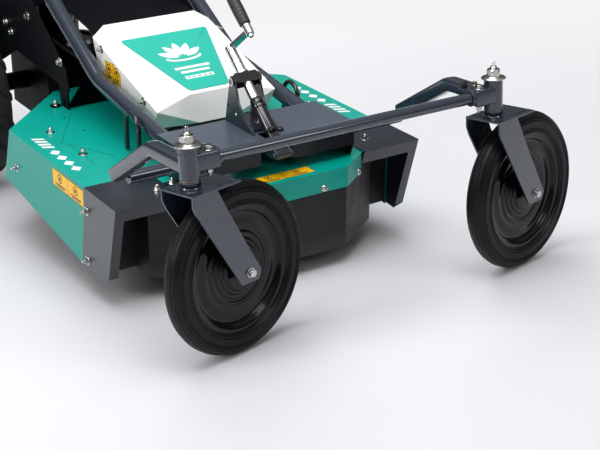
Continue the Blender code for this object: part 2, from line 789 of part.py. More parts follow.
def caster_arm(side):
    # Bent arm, head tube and the block that takes the cross tube, as one weldment
    name = "caster_arm_left" if side < 0 else "caster_arm_right"
    x = side * HEAD_SPACING / 2
    inward = -side
    level = ARM_HEIGHT - HINGE_HEIGHT
    path = [(-HINGE_BACK, level), (ARM_KNEE_BACK - HINGE_BACK, level + 0.003),
            (ARM_TAIL, ARM_TAIL_RISE)]
    arm = plate(name, bar_outline(path, ARM_DEPTH / 2), ARM_WIDTH, (x, 0, 0), caster_frame, SLATE,
                edge=0.006)
    head_z = (HEAD_TOP + HEAD_BOTTOM) / 2 - HINGE_HEIGHT
    head = rod("head", HEAD_RADIUS, HEAD_TOP - HEAD_BOTTOM, (x, -HINGE_BACK, head_z), caster_frame,
               None, sides=16)
    cross_z = CROSS_HEIGHT - HINGE_HEIGHT
    block = box("block", (BLOCK_REACH, BLOCK_SIZE, BLOCK_SIZE),
                (x + inward * BLOCK_REACH / 2, -HINGE_BACK, cross_z), caster_frame, None, edge=0.004)
    bolts = [hex_head("bolt", (x + inward * (BLOCK_REACH - 0.022), -HINGE_BACK + 0.002,
                               cross_z + up * (BLOCK_SIZE / 2 - 0.0005)), caster_frame,
                      rotation=(0 if up > 0 else pi, 0, 0)) for up in (-1, 1)]
    frame = fuse(arm, head, block, *bolts)
    bore = rod("bore", KINGPIN_RADIUS + BEARING_GAP, 0.2, (x, -HINGE_BACK, head_z), caster_frame,
               None, sides=16)
    socket = rod("socket", CROSS_RADIUS + GAP, 2 * SOCKET_DEPTH,
                 (x + inward * BLOCK_REACH, -HINGE_BACK, cross_z), caster_frame, None, axis="X",
                 sides=16)
    return cut(frame, bore, socket)


def cross_tube():
    reach = HEAD_SPACING / 2 - BLOCK_REACH + SOCKET_DEPTH - GAP
    return rod("cross_tube", CROSS_RADIUS, 2 * reach,
               (0, -HINGE_BACK, CROSS_HEIGHT - HINGE_HEIGHT), caster_frame, SLATE, axis="X", sides=16)


# Crank jack between the yoke and the torque tube's lever

jack = empty("jack_axis", drawing, (0, TRUNNION_Y, TRUNNION_Z), (JACK_SLOPE - pi / 2, 0, 0))
crank_axis = empty("crank_axis", jack)
grip_axis = empty("crank_grip_axis", crank_axis,
                  (CRANK_REACH * cos(CRANK_ANGLE), -CRANK_REACH * sin(CRANK_ANGLE), CRANK_LEVEL))
foot_axis = empty("jack_foot_axis", jack)


def jack_trunnion():
    inner = EAR_HALF - EAR_PLATE / 2 - GAP
    block = box("jack_trunnion", (2 * inner, TRUNNION_BLOCK, TRUNNION_BLOCK * 0.85), (0, 0, 0), jack,
                BLACK, edge=0.003)
    pins = rod("pins", TRUNNION_PIN, 2 * EAR_HALF + EAR_PLATE + 0.006, (0, 0, 0), jack, None,
               axis="X", sides=16)
    block = fuse(block, pins)
    bore = rod("bore", JACK_TUBE_RADIUS + BEARING_GAP, 0.1, (0, 0, 0), jack, None, sides=16)
    return cut(block, bore)


def crank():
    # Chrome tube through the trunnion, tapered sleeve and screw below, crank arm and grip pin above
    block = TRUNNION_BLOCK * 0.425 + GAP
    sleeve = 0.004 - FOOT_START
    end = FOOT_TAB + 0.026 - FOOT_DROP
    shaft = [(0, JACK_TUBE_TOP), (JACK_TUBE_RADIUS - 0.001, JACK_TUBE_TOP),
             (JACK_TUBE_RADIUS, JACK_TUBE_TOP - 0.001), (JACK_TUBE_RADIUS, block + 0.006),
             (JACK_TUBE_RADIUS + 0.003, block + 0.006), (JACK_TUBE_RADIUS + 0.003, block),
             (JACK_TUBE_RADIUS, block), (JACK_TUBE_RADIUS, -block), (SLEEVE_RADIUS, -block),
             (SLEEVE_RADIUS + 0.001, sleeve + 0.002), (SLEEVE_RADIUS - 0.002, sleeve),
             (SCREW_RADIUS, sleeve), (SCREW_RADIUS, end), (0, end)]
    body = turned("crank", shaft, (0, 0, 0), crank_axis, CHROME, sides=14)
    along = (cos(CRANK_ANGLE), -sin(CRANK_ANGLE))
    arm = [(r * along[0] - s * along[1], r * along[1] + s * along[0])
           for r, s in [(0, -0.010), (CRANK_REACH, -0.009), (CRANK_REACH + 0.009, 0),
                        (CRANK_REACH, 0.009), (0, 0.010)]]
    bar = plate("arm", arm, 0.009, (0, 0, CRANK_LEVEL), crank_axis, None, rotation=FLAT)
    grip_x, grip_y = CRANK_REACH * along[0], CRANK_REACH * along[1]
    boss = rod("boss", 0.0115, 0.028, (grip_x, grip_y, CRANK_LEVEL + 0.004), crank_axis, None, sides=12)
    pin_length = GRIP_BODY + 0.022
    pin = rod("pin", GRIP_PIN, pin_length, (grip_x, grip_y, CRANK_LEVEL + pin_length / 2),
              crank_axis, None, sides=12)
    screw = rod("screw", 0.006, 0.012, (grip_x, grip_y, CRANK_LEVEL - 0.014), crank_axis, None, sides=10)
    return fuse(body, bar, boss, pin, screw)


def crank_grip():
    start = 0.018 + GAP
    end = start + GRIP_BODY
    profile = [(GRIP_PIN + BEARING_GAP, end - 0.004), (0.011, end), (0.0145, end - 0.003),
               (0.016, end - 0.012), (0.0155, start + 0.012), (0.013, start + 0.002),
               (0.0115, start), (GRIP_PIN + BEARING_GAP, start)]
    return ring("crank_grip", profile, (0, 0, 0), grip_axis, PLASTIC, sides=16)


def jack_foot():
    # Sliding lower tube with a collar, a flat tab below it and the eye that sits in the lever
    bore = SCREW_RADIUS + BEARING_GAP
    bottom = -FOOT_DROP
    tab = bottom + FOOT_TAB
    profile = [(0, tab + 0.012), (bore, tab + 0.012), (bore, -FOOT_START),
               (COLLAR_RADIUS, -FOOT_START), (COLLAR_RADIUS, -FOOT_START - 0.008),
               (FOOT_TUBE_RADIUS, -FOOT_START - 0.009), (FOOT_TUBE_RADIUS, tab + 0.004),
               (0.012, tab), (0, tab)]
    body = turned("jack_foot", profile, (0, 0, 0), foot_axis, BLACK, sides=16)
    flat = box("flat", (0.026, 0.011, FOOT_TAB + 0.004), (0, 0, bottom + FOOT_TAB / 2 + 0.002),
               foot_axis, None, edge=0.002)
    eye = rod("eye", EYE_HALF, EYE_WIDTH, (0, 0, bottom), foot_axis, None, axis="X", sides=14)
    hole = rod("hole", PIN_RADIUS + EYE_SLACK, 0.1, (0, 0, bottom), foot_axis, None, axis="X", sides=12)
    return cut(fuse(body, flat, eye), hole)


# Casters

def caster(side):
    label = "left" if side < 0 else "right"
    swivel = SWIVEL_LEFT if side < 0 else SWIVEL_RIGHT
    pivot = empty("swivel_" + label, caster_frame,
                  (side * HEAD_SPACING / 2, -HINGE_BACK, -HINGE_HEIGHT), (0, 0, swivel))
    fork(label, pivot)
    kingpin(label, pivot)
    axle = empty("caster_axle_" + label, pivot, (CASTER_TRAIL, 0, CASTER_RADIUS))
    caster_rim(label, axle)
    caster_tyre(label, axle)


def fork(label, pivot):
    back = -0.042
    slots = [[(0.045, y - 0.002), (0.085, y - 0.002), (0.085, y + 0.002), (0.045, y + 0.002)]
             for y in (-0.036, 0.036)]
    crown_outline = [(back, -FORK_HALF), (CROWN_LENGTH, -FORK_HALF), (CROWN_LENGTH, FORK_HALF),
                     (back, FORK_HALF)]
    crown = plate("fork_" + label, crown_outline, FORK_PLATE, (0, 0, CROWN_TOP - FORK_PLATE / 2),
                  pivot, SLATE, rotation=FLAT, holes=slots)
    top = CROWN_TOP - 0.001
    leg = [(back, top), (back, top - 0.025), (back + 0.009, top - 0.046),
           (CASTER_TRAIL - 0.028, CASTER_RADIUS - 0.023), (CASTER_TRAIL + 0.025, CASTER_RADIUS - 0.023),
           (CASTER_TRAIL + 0.034, CASTER_RADIUS - 0.003), (0.0587, 0.357), (0.029, top)]
    legs = [plate("leg", leg, FORK_PLATE, (0, y * (FORK_HALF - FORK_PLATE / 2), 0), pivot, None,
                  rotation=FACE_ON) for y in (-1, 1)]
    collar_height = HEAD_BOTTOM - GAP - CROWN_TOP + 0.001
    collar = rod("collar", 0.018, collar_height, (0, 0, HEAD_BOTTOM - GAP - collar_height / 2), pivot,
                 None, sides=14)
    outer = FORK_HALF - 0.0005
    axle = rod("axle", AXLE_BOLT_RADIUS, 2 * outer, (CASTER_TRAIL, 0, CASTER_RADIUS), pivot, None,
               axis="Y", sides=12)
    head = hex_head("head", (CASTER_TRAIL, -outer, CASTER_RADIUS), pivot, rotation=(pi / 2, 0, 0))
    lock = hex_head("lock", (CASTER_TRAIL, outer, CASTER_RADIUS), pivot, rotation=(-pi / 2, 0, 0),
                    height=0.010)
    bore = rod("bore", KINGPIN_RADIUS + GAP, 0.2, (0, 0, CROWN_TOP), pivot, None, sides=12)
    return cut(fuse(crown, *legs, collar, axle, head, lock), bore)


def kingpin(label, pivot):
    # Bolt up through the crown and the head tube, with its washer and nut on top
    low = CROWN_TOP - FORK_PLATE - GAP
    seat = HEAD_TOP + GAP
    nut = seat + WASHER - 0.0005
    profile = [(0, nut + 0.026), (0.0085, nut + 0.026), (0.0085, nut), (0.028, nut + 0.0005),
               (0.030, nut - 0.002), (0.030, seat), (KINGPIN_RADIUS, seat), (KINGPIN_RADIUS, low),
               (0.017, low), (0.017, low - 0.007), (0, low - 0.007)]
    bolt = turned("kingpin_" + label, profile, (0, 0, 0), pivot, ZINC, sides=12)
    return fuse(bolt, hex_head("nut", (0, 0, nut - 0.001), pivot, across=0.030, height=0.019))


def both_faces(face):
    # A closed profile from one face's points, mirrored to the other side of the wheel
    return face + [(r, -z) for r, z in reversed(face)]


def caster_rim(label, axle):
    hub = FORK_HALF - FORK_PLATE - 0.0006
    bore = AXLE_BOLT_RADIUS + BEARING_GAP
    face = [(bore, hub), (0.0165, hub), (0.0175, 0.0230), (0.050, 0.0205), (0.066, 0.0090),
            (0.130, 0.0060), (RIM_RADIUS, 0.0200)]
    return ring("caster_rim_" + label, both_faces(face), (0, 0, 0), axle, BLACK, axis="Y", sides=28)


def caster_tyre(label, axle):
    half = CASTER_WIDTH / 2
    crown = CASTER_RADIUS
    face = [(RIM_RADIUS + GAP, 0.0200), (0.1520, half), (0.1840, half), (crown - 0.0110, half - 0.0030),
            (crown - 0.0030, half - 0.0110), (crown, 0.0040)]
    return ring("caster_tyre_" + label, both_faces(face), (0, 0, 0), axle, RUBBER_BLACK, axis="Y",
                sides=28)


# Belt drive, rotor and swing blades

def pulley_profile(radius, bore):
    # V-belt pulley: hub, thin web and a flange on each side of the belt
    half = BELT_WIDTH / 2
    lip = radius + BELT_THICK * 0.8
    return both_faces([(bore, half + 0.008), (0.022, half + 0.008), (0.024, 0.004),
                       (radius - 0.012, 0.004), (radius - 0.010, half + 0.004), (lip, half + 0.004),
                       (radius, half + 0.001)])


def rotor_housing():
    foot = DECK_TOP + GAP
    bore = SPINDLE_RADIUS + BEARING_GAP
    barrel = SPINDLE_HOLE - 0.002
    profile = [(bore, foot + 0.026), (0.032, foot + 0.026), (0.038, foot + 0.018),
               (0.046, foot + 0.006), (HOUSING_FLANGE, foot + 0.006), (HOUSING_FLANGE, foot),
               (barrel, foot), (barrel, foot - 0.045), (bore, foot - 0.045)]
    return ring("rotor_housing", profile, (0, SPINDLE_Y, 0), drawing, CAST, sides=20)


rotor_axis = empty("rotor_axis", drawing, (0, SPINDLE_Y, 0))
engine_axis = empty("engine_axis", drawing, (0, ENGINE_Y, 0))
BAR_LOW = BLADE_HEIGHT + BLADE_THICK / 2 + GAP


def rotor():
    # Spindle with its pulley on top and the bar that carries the swing blades below
    low = BLADE_HEIGHT - 0.012
    top = BELT_HEIGHT + 0.020
    spindle = rod("rotor", SPINDLE_RADIUS, top - low, (0, 0, (top + low) / 2), rotor_axis, STEEL)
    pulley = ring("pulley", pulley_profile(PULLEY_RADIUS, SPINDLE_RADIUS - 0.001),
                  (0, 0, BELT_HEIGHT), rotor_axis, None, sides=18)
    outline = [(-BAR_HALF, -0.026), (-0.080, -0.030), (-0.050, -0.042), (0.050, -0.042),
               (0.080, -0.030), (BAR_HALF, -0.026), (BAR_HALF, 0.026), (0.080, 0.030),
               (0.050, 0.042), (-0.050, 0.042), (-0.080, 0.030), (-BAR_HALF, 0.026)]
    bar = plate("bar", outline, BAR_THICK, (0, 0, BAR_LOW + BAR_THICK / 2), rotor_axis, None,
                rotation=FLAT)
    hub = rod("hub", 0.034, 0.014, (0, 0, BAR_LOW + BAR_THICK + 0.006), rotor_axis, None, sides=16)
    more = [pulley, bar, hub]
    for side in (-1, 1):
        x = side * BLADE_PIN_RADIUS
        blade_low = BLADE_HEIGHT - BLADE_THICK / 2 - GAP
        high = BAR_LOW + BAR_THICK + 0.006
        more.append(rod("pin", BLADE_PIN, high - blade_low + 0.004,
                        (x, 0, (high + blade_low - 0.004) / 2), rotor_axis, None))
        more.append(rod("cap", 0.015, 0.006, (x, 0, blade_low - 0.003), rotor_axis, None))
        more.append(rod("nut", 0.014, 0.010, (x, 0, BAR_LOW + BAR_THICK + 0.004), rotor_axis, None,
                        sides=6))
    return fuse(spindle, *more)


def swing_blade(side):
    name = "swing_blade_a" if side < 0 else "swing_blade_b"
    pivot = empty(name + "_axis", rotor_axis, (side * BLADE_PIN_RADIUS, 0, BLADE_HEIGHT),
                  (0, 0, 0 if side > 0 else pi))
    reach = ROTOR_RADIUS - BLADE_PIN_RADIUS
    outline = arc_points(0, 0, 0.027, radians(100), radians(260), 8)
    outline += [(0.060, -0.030), (reach - 0.006, -0.030), (reach - 0.012, 0.030), (0.060, 0.030)]
    hole = circle_points(0, 0, BLADE_PIN + BEARING_GAP, 20)
    return plate(name, outline, BLADE_THICK, (0, 0, 0), pivot, STEEL, rotation=FLAT, holes=[hole])


def engine_pulley():
    # Output shaft with the driving pulley at its lower end
    low = BELT_HEIGHT - 0.022
    top = BED_HEIGHT + 0.030
    shaft = rod("engine_pulley", SPINDLE_RADIUS, top - low, (0, 0, (top + low) / 2), engine_axis, STEEL)
    pulley = ring("pulley", pulley_profile(ENGINE_PULLEY_RADIUS, SPINDLE_RADIUS - 0.001),
                  (0, 0, BELT_HEIGHT), engine_axis, None, sides=16)
    return fuse(shaft, pulley)


BELT_LEAN = asin((PULLEY_RADIUS - ENGINE_PULLEY_RADIUS) / (ENGINE_Y - SPINDLE_Y))


def belt_loop(extra):
    # Both pulley circles joined by their outer tangents
    back = arc_points(0, ENGINE_Y, ENGINE_PULLEY_RADIUS + extra, BELT_LEAN, pi - BELT_LEAN, 14)
    front = arc_points(0, SPINDLE_Y, PULLEY_RADIUS + extra, pi - BELT_LEAN, 2 * pi + BELT_LEAN, 22)
    return back + front


def drive_belt():
    return plate("drive_belt", belt_loop(BELT_PLAY + BELT_THICK), BELT_WIDTH, (0, 0, BELT_HEIGHT),
                 drawing, RUBBER_BLACK, rotation=FLAT, holes=[belt_loop(BELT_PLAY)])


def idler_place():
    # Flat idler that leans on the back of the belt's right-hand run
    reach = PULLEY_RADIUS + BELT_PLAY + BELT_THICK + GAP + IDLER_RADIUS
    return (reach - (IDLER_Y - SPINDLE_Y) * sin(BELT_LEAN)) / cos(BELT_LEAN), IDLER_Y


idler_arm_axis = empty("idler_arm_axis", drawing, (*IDLER_PIVOT, 0))
IDLER_X = idler_place()[0]
idler_axis = empty("idler_axis", idler_arm_axis, (IDLER_X - IDLER_PIVOT[0], IDLER_Y - IDLER_PIVOT[1], 0))


def idler_arm():
    tip = Vector((IDLER_X - IDLER_PIVOT[0], IDLER_Y - IDLER_PIVOT[1]))
    aim = atan2(tip.y, tip.x)
    outline = arc_points(0, 0, 0.016, aim + radians(90), aim + radians(270), 8)
    outline += arc_points(*tip, 0.013, aim - radians(90), aim + radians(90), 8)
    hole = circle_points(0, 0, IDLER_PIN + BEARING_GAP)
    arm = plate("idler_arm", outline, ARM_SHEET, (0, 0, ARM_LEVEL), idler_arm_axis, ZINC, rotation=FLAT,
                holes=[hole])
    top = BELT_HEIGHT + 0.014
    pin = rod("pin", IDLER_PIN, top - ARM_LEVEL, (*tip, (top + ARM_LEVEL) / 2), idler_arm_axis, None,
              sides=16)
    seat = rod("seat", 0.010, 0.026, (*tip, BELT_HEIGHT - 0.010 - GAP - 0.013), idler_arm_axis, None)
    return fuse(arm, seat, pin)


def idler_pulley():
    bore = IDLER_PIN + BEARING_GAP
    face = [(bore, 0.010), (0.014, 0.010), (0.016, 0.006), (IDLER_RADIUS - 0.004, 0.006),
            (IDLER_RADIUS, 0.009)]
    return ring("idler_pulley", both_faces(face), (0, 0, BELT_HEIGHT), idler_axis, ZINC, sides=16)


# Rear end: side plates, engine bed, transmission and drive wheels

def chassis_plate(side):
    # Laser-cut side plate: foot on the deck in front, axle in the middle, tongue up to the tube
    name = "chassis_plate_left" if side < 0 else "chassis_plate_right"
    foot = DECK_TOP + GAP
    tongue = arc_points(TONGUE_Y, knee_height(TONGUE_Y), 0.022, radians(-10), radians(170), 8)
    outline = [(1.037, 0.446), (1.050, 0.447), (1.050, foot), (1.100, foot), (1.110, 0.451),
               (1.410, 0.470), (1.550, 0.400), (1.560, 0.250), (1.760, 0.250), (1.780, 0.450),
               (BED_BACK, 0.600), (BED_BACK, 0.700), (1.470, 0.700), *tongue, (1.262, 0.655),
               (1.050, 0.500)]
    bore = circle_points(AXLE_Y, DRIVE_RADIUS, AXLE_RADIUS + BEARING_GAP, 20)
    x = side * (PLATE_INNER + PLATE_SHEET / 2)
    flat = plate(name, outline, PLATE_SHEET, (x, 0, 0), drawing, SLATE, holes=[bore])
    inner = TUBE_X + TUBE_RADIUS + GAP
    outer = PLATE_INNER + 0.001
    spacer = rod("spacer", 0.014, outer - inner, (side * (outer + inner) / 2, TONGUE_Y,
                                                  knee_height(TONGUE_Y)), drawing, None, axis="X")
    return fuse(flat, spacer)


def engine_bed():
    half = PLATE_INNER - GAP
    outline = [(-half, BED_FRONT), (half, BED_FRONT), (half, BED_BACK), (-half, BED_BACK)]
    holes = [circle_points(0, ENGINE_Y, 0.030, 20), circle_points(ANCHOR_X, 1.330, 0.006, 10)]
    bed = plate("engine_bed", outline, BED_SHEET, (0, 0, BED_HEIGHT - BED_SHEET / 2), drawing, SLATE,
                rotation=FLAT, holes=holes)
    flanges = [box("flange", (0.005, 0.440, 0.034), (side * (half - 0.0025), 1.600, BED_HEIGHT - 0.020),
                   drawing, None) for side in (-1, 1)]
    return fuse(bed, *flanges)


def front_shield():
    # Folded sheet that closes the space between the belt cover and the engine bed
    half = 0.0015
    rest = BED_HEIGHT + GAP + half
    path = [(1.022, 0.530), (1.001, 0.602), (1.128, 0.625), (1.262, 0.652), (1.272, rest),
            (1.296, rest)]
    return plate("front_shield", bar_outline(path, half), 2 * 0.165, (0, 0, 0), drawing, BLACK)


def transmission_case():
    length = CASE_BACK - CASE_FRONT
    height = CASE_TOP - CASE_LOW
    case = box("transmission_case", (2 * CASE_HALF, length, height),
               (0, (CASE_FRONT + CASE_BACK) / 2, (CASE_LOW + CASE_TOP) / 2), drawing, CAST, edge=0.018)
    head = BED_HEIGHT - BED_SHEET - GAP
    pedestal = box("pedestal", (0.110, 0.090, head - CASE_TOP + 0.010),
                   (0, 1.705, (head + CASE_TOP - 0.010) / 2), drawing, None, edge=0.006)
    rib = box("rib", (0.150, 0.012, height + 0.024), (0, AXLE_Y, (CASE_LOW + CASE_TOP) / 2), drawing,
              None)
    more, bores = [pedestal, rib], []
    for side in (-1, 1):
        outer = PLATE_INNER - GAP
        more.append(rod("sleeve", 0.028, outer - CASE_HALF + 0.010,
                        (side * (outer + CASE_HALF - 0.010) / 2, AXLE_Y, DRIVE_RADIUS), drawing, None,
                        axis="X", sides=16))
        bores.append(rod("bore", AXLE_RADIUS + BEARING_GAP, 0.200, (side * 0.160, AXLE_Y, DRIVE_RADIUS),
                         drawing, None, axis="X"))
    return cut(fuse(case, *more), *bores)


def drive_wheel(side):
    label = "left" if side < 0 else "right"
    axle = empty("drive_axle_" + label, drawing, (side * DRIVE_TRACK_HALF, AXLE_Y, DRIVE_RADIUS))
    rim_half = DRIVE_WIDTH / 2 - 0.010
    face = [(0.010, 0.012), (0.060, 0.012), (0.116, 0.006), (0.130, rim_half - 0.006),
            (DRIVE_RIM, rim_half)]
    rim = ring("drive_rim_" + label, both_faces(face), (0, 0, 0), axle, GREEN, axis="X", sides=28)
    hub_inner = PLATE_INNER + PLATE_SHEET + 0.004 - DRIVE_TRACK_HALF
    hub = rod("hub", 0.034, 0.028 - hub_inner, (side * (0.028 + hub_inner) / 2, 0, 0), axle, None,
              axis="X", sides=14)
    shaft_inner = 0.064 - DRIVE_TRACK_HALF
    shaft = rod("shaft", AXLE_RADIUS, 0.036 - shaft_inner, (side * (0.036 + shaft_inner) / 2, 0, 0),
                axle, None, axis="X", sides=14)
    fuse(rim, hub, shaft)
    half = DRIVE_WIDTH / 2
    tread = DRIVE_RADIUS
    face = [(DRIVE_RIM + GAP, rim_half), (0.180, half), (0.240, half), (tread - 0.024, half - 0.008),
            (tread - 0.007, half - 0.026), (tread, half - 0.048)]
    ring("drive_tyre_" + label, both_faces(face), (0, 0, 0), axle, RUBBER_BLACK, axis="X", sides=28)


# Engine

ENGINE_FOOT = BED_HEIGHT + GAP
BLOWER_LOW = ENGINE_FOOT + CRANKCASE + GAP
BLOWER_TOP = BLOWER_LOW + 0.130


def engine_block():
    middle = ENGINE_FOOT + 0.052
    case = box("engine_block", (0.230, 0.220, CRANKCASE), (0, ENGINE_Y, ENGINE_FOOT + CRANKCASE / 2),
               drawing, CAST, edge=0.012)
    barrel = box("barrel", (0.090, 0.120, 0.084), (0, 1.366, middle), drawing, None)
    fins = [box("fin", (0.130, 0.005, 0.098), (0, 1.322 + 0.014 * k, middle), drawing, None)
            for k in range(6)]
    block = fuse(case, barrel, *fins)
    bore = rod("bore", SPINDLE_RADIUS + BEARING_GAP, 0.070, (0, ENGINE_Y, ENGINE_FOOT), drawing, None)
    return cut(block, bore)


def blower_housing():
    profile = [(0, BLOWER_TOP), (STARTER_RADIUS - 0.010, BLOWER_TOP), (STARTER_RADIUS, BLOWER_TOP - 0.008),
               (STARTER_RADIUS, BLOWER_LOW + 0.100), (0.128, BLOWER_LOW + 0.097),
               (BLOWER_RADIUS - 0.006, BLOWER_LOW + 0.088), (BLOWER_RADIUS, BLOWER_LOW + 0.074),
               (BLOWER_RADIUS, BLOWER_LOW), (0, BLOWER_LOW)]
    body = turned("blower_housing", profile, (0, ENGINE_Y, 0), drawing, BLACK, sides=24)
    start = ENGINE_Y + STARTER_RADIUS
    channel = rod("channel", CORD_RADIUS + BEARING_GAP, 2 * (STARTER_TRAVEL + 0.014),
                  (0, start, STARTER_Z), drawing, None, axis="Y", sides=10)
    return cut(body, channel)


CORD_RADIUS = 0.0025
STARTER_Z = BLOWER_TOP - 0.016
starter_axis = empty("starter_slide", drawing, (0, ENGINE_Y + STARTER_RADIUS, STARTER_Z))
cap_axis = empty("fuel_cap_axis", drawing, (0.080, TANK_Y, 0))
TANK_TOP = ENGINE_FOOT + 0.120
NECK_TOP = TANK_TOP + 0.014


def starter_grip():
    # T-handle with the straight piece of cord that runs into the starter
    cord = rod("starter_grip", CORD_RADIUS, STARTER_TRAVEL + 0.014,
               (0, 0.016 - (STARTER_TRAVEL + 0.014) / 2, 0), starter_axis, PLASTIC, axis="Y", sides=12)
    handle = rod("handle", 0.010, 0.110, (0, 0.018, 0), starter_axis, None, axis="X", sides=16)
    neck = rod("neck", 0.008, 0.014, (0, 0.009, 0), starter_axis, None, axis="Y", sides=16)
    return fuse(cord, handle, neck)


def fuel_tank():
    tank = box("fuel_tank", (0.300, 0.130, 0.120), (0, TANK_Y, ENGINE_FOOT + 0.060), drawing, BLACK,
               edge=0.026)
    neck = rod("neck", 0.024, 0.034, (0.080, TANK_Y, NECK_TOP - 0.017), drawing, None, sides=18)
    return fuse(tank, neck)


def fuel_cap():
    low = TANK_TOP + GAP
    inner = 0.024 + BEARING_GAP
    profile = [(0, NECK_TOP + 0.008), (CAP_RADIUS - 0.004, NECK_TOP + 0.008),
               (CAP_RADIUS, NECK_TOP + 0.004), (CAP_RADIUS, low), (inner, low),
               (inner, NECK_TOP + GAP), (0, NECK_TOP + GAP)]
    return turned("fuel_cap", profile, (0, 0, 0), cap_axis, PLASTIC, sides=18)


def muffler():
    middle = ENGINE_FOOT + 0.050
    body = box("muffler", (0.070, 0.080, 0.086), (0.116, 1.356, middle), drawing, STEEL, edge=0.010)
    pipe = rod("pipe", 0.013, 0.020, (0.0753, 1.356, middle), drawing, None, axis="X")
    outlet = rod("outlet", 0.011, 0.030, (0.116, 1.312, middle - 0.014), drawing, None, axis="Y")
    return fuse(body, pipe, outlet)


def air_cleaner():
    middle = ENGINE_FOOT + 0.050
    body = box("air_cleaner", (0.070, 0.084, 0.090), (-0.116, 1.354, middle), drawing, PLASTIC,
               edge=0.010)
    elbow = rod("elbow", 0.014, 0.020, (-0.0753, 1.356, middle), drawing, None, axis="X")
    knob = rod("knob", 0.012, 0.014, (-0.116, 1.308, middle + 0.010), drawing, None, axis="Y", sides=6)
    return fuse(body, elbow, knob)


# Handle and controls

BRIDGE_Z = GRIP_START_Z + (BRIDGE_Y - GRIP_START_Y) * sin(GRIP_SLOPE) / cos(GRIP_SLOPE)
PANEL_TOP = BRIDGE_Z + 0.020 + PANEL[2] / 2
LEVER_PIVOT_Z = PANEL_TOP - 0.020
BAIL_Y = BRIDGE_Y + 0.080
BAIL_Z = BRIDGE_Z + 0.016
bail_axis = empty("clutch_axis", drawing, (0, BAIL_Y, BAIL_Z))


def handle_bridge():
    # Cross bar with the control panel and the bail's brackets
    reach = GRIP_X - TUBE_RADIUS - GAP
    bar = rod("handle_bridge", 0.0125, 2 * reach, (0, BRIDGE_Y, BRIDGE_Z), drawing, SLATE, axis="X",
              sides=14)
    panel = box("panel", PANEL, (0, BRIDGE_Y + 0.005, BRIDGE_Z + 0.020), drawing, None, edge=0.006)
    more = [panel]
    for side in (-1, 1):
        ear = [(BRIDGE_Y - 0.004, BRIDGE_Z - 0.006), (BAIL_Y - 0.002, BAIL_Z - 0.012),
               *arc_points(BAIL_Y, BAIL_Z, 0.012, radians(-80), radians(100), 6),
               (BRIDGE_Y - 0.004, BRIDGE_Z + 0.008)]
        hole = circle_points(BAIL_Y, BAIL_Z, 0.005 + BEARING_GAP, 12)
        more.append(plate("ear", ear, 0.004, (side * (BAIL_X + 0.020), 0, 0), drawing, None,
                          holes=[hole]))
    bridge = fuse(bar, *more)
    slots = [box("slot", (0.006, 0.090, 0.036), (side * LEVER_X, BRIDGE_Y + 0.005, PANEL_TOP - 0.016),
                 drawing, None) for side in (-1, 1)]
    bridge = cut(bridge, *slots)
    pivots = [rod("pivot", 0.002, 0.012, (side * LEVER_X, BRIDGE_Y + 0.005, LEVER_PIVOT_Z), drawing,
                  None, axis="X", sides=10) for side in (-1, 1)]
    return fuse(bridge, *pivots)


def hand_grip(side):
    inner = TUBE_RADIUS + 0.0006
    outer = inner + GRIP_WALL
    end = GRIP_RUN + GAP
    start = GRIP_RUN - GRIP_LENGTH
    profile = [(0, end + 0.004), (outer - 0.003, end + 0.004), (outer, end + 0.001),
               (outer, start + 0.008), (outer + 0.003, start + 0.006), (outer + 0.003, start),
               (inner, start), (inner, end), (0, end)]
    label = "left" if side < 0 else "right"
    return turned("hand_grip_" + label, profile, (0, 0, 0), grip_frames[label], RUBBER_BLACK, axis="Y",
                  sides=14)


def steering_lever(side):
    label = "left" if side < 0 else "right"
    pivot = empty("steering_axis_" + label, grip_frames[label], (0, STEER_Y, STEER_Z))
    hole = circle_points(0, 0, STEER_PIN + BEARING_GAP, 10)
    outline = arc_points(0, 0, 0.0085, radians(80), radians(270), 8)
    outline += [(0.042, -0.019), (0.165, -0.019), (0.172, -0.0125), (0.165, -0.006), (0.044, -0.006)]
    return plate("steering_lever_" + label, outline, 0.008, (0, 0, 0), pivot, BLACK, holes=[hole])


def clutch_lever():
    # Bail across the handle: held against the grips it keeps the belt tight
    side = [(BAIL_X + 0.027, 0, 0), (BAIL_X, 0, 0), (BAIL_X, 0.165, 0.050)]
    corners = side + [(-x, y, z) for x, y, z in reversed(side)]
    return tube("clutch_lever", filleted(corners, 0.012, 3), 0.005, bail_axis, CHROME, resolution=1)


def panel_lever(name, side, height):
    # Flat lever in a slot of the panel, with a knob on top
    pivot = empty(name + "_axis", drawing, (side * LEVER_X, BRIDGE_Y + 0.005, LEVER_PIVOT_Z))
    hole = circle_points(0, 0, 0.002 + BEARING_GAP, 10)
    outline = arc_points(0, 0, 0.010, radians(150), radians(390), 10)
    outline += [(0.0045, 0.020), (0.0045, height), (-0.0045, height), (-0.0045, 0.020)]
    stem = plate(name, outline, 0.004, (0, 0, 0), pivot, BLACK, holes=[hole])
    profile = [(0, height + 0.020), (0.006, height + 0.019), (0.0095, height + 0.013),
               (0.0095, height + 0.004), (0.006, height - 0.006), (0, height - 0.006)]
    return fuse(stem, turned("knob", profile, (0, 0, 0), pivot, None, sides=12))


def control_cable(name, route):
    return tube(name, filleted(route, 0.012, 2), 0.003, drawing, PLASTIC, resolution=1)


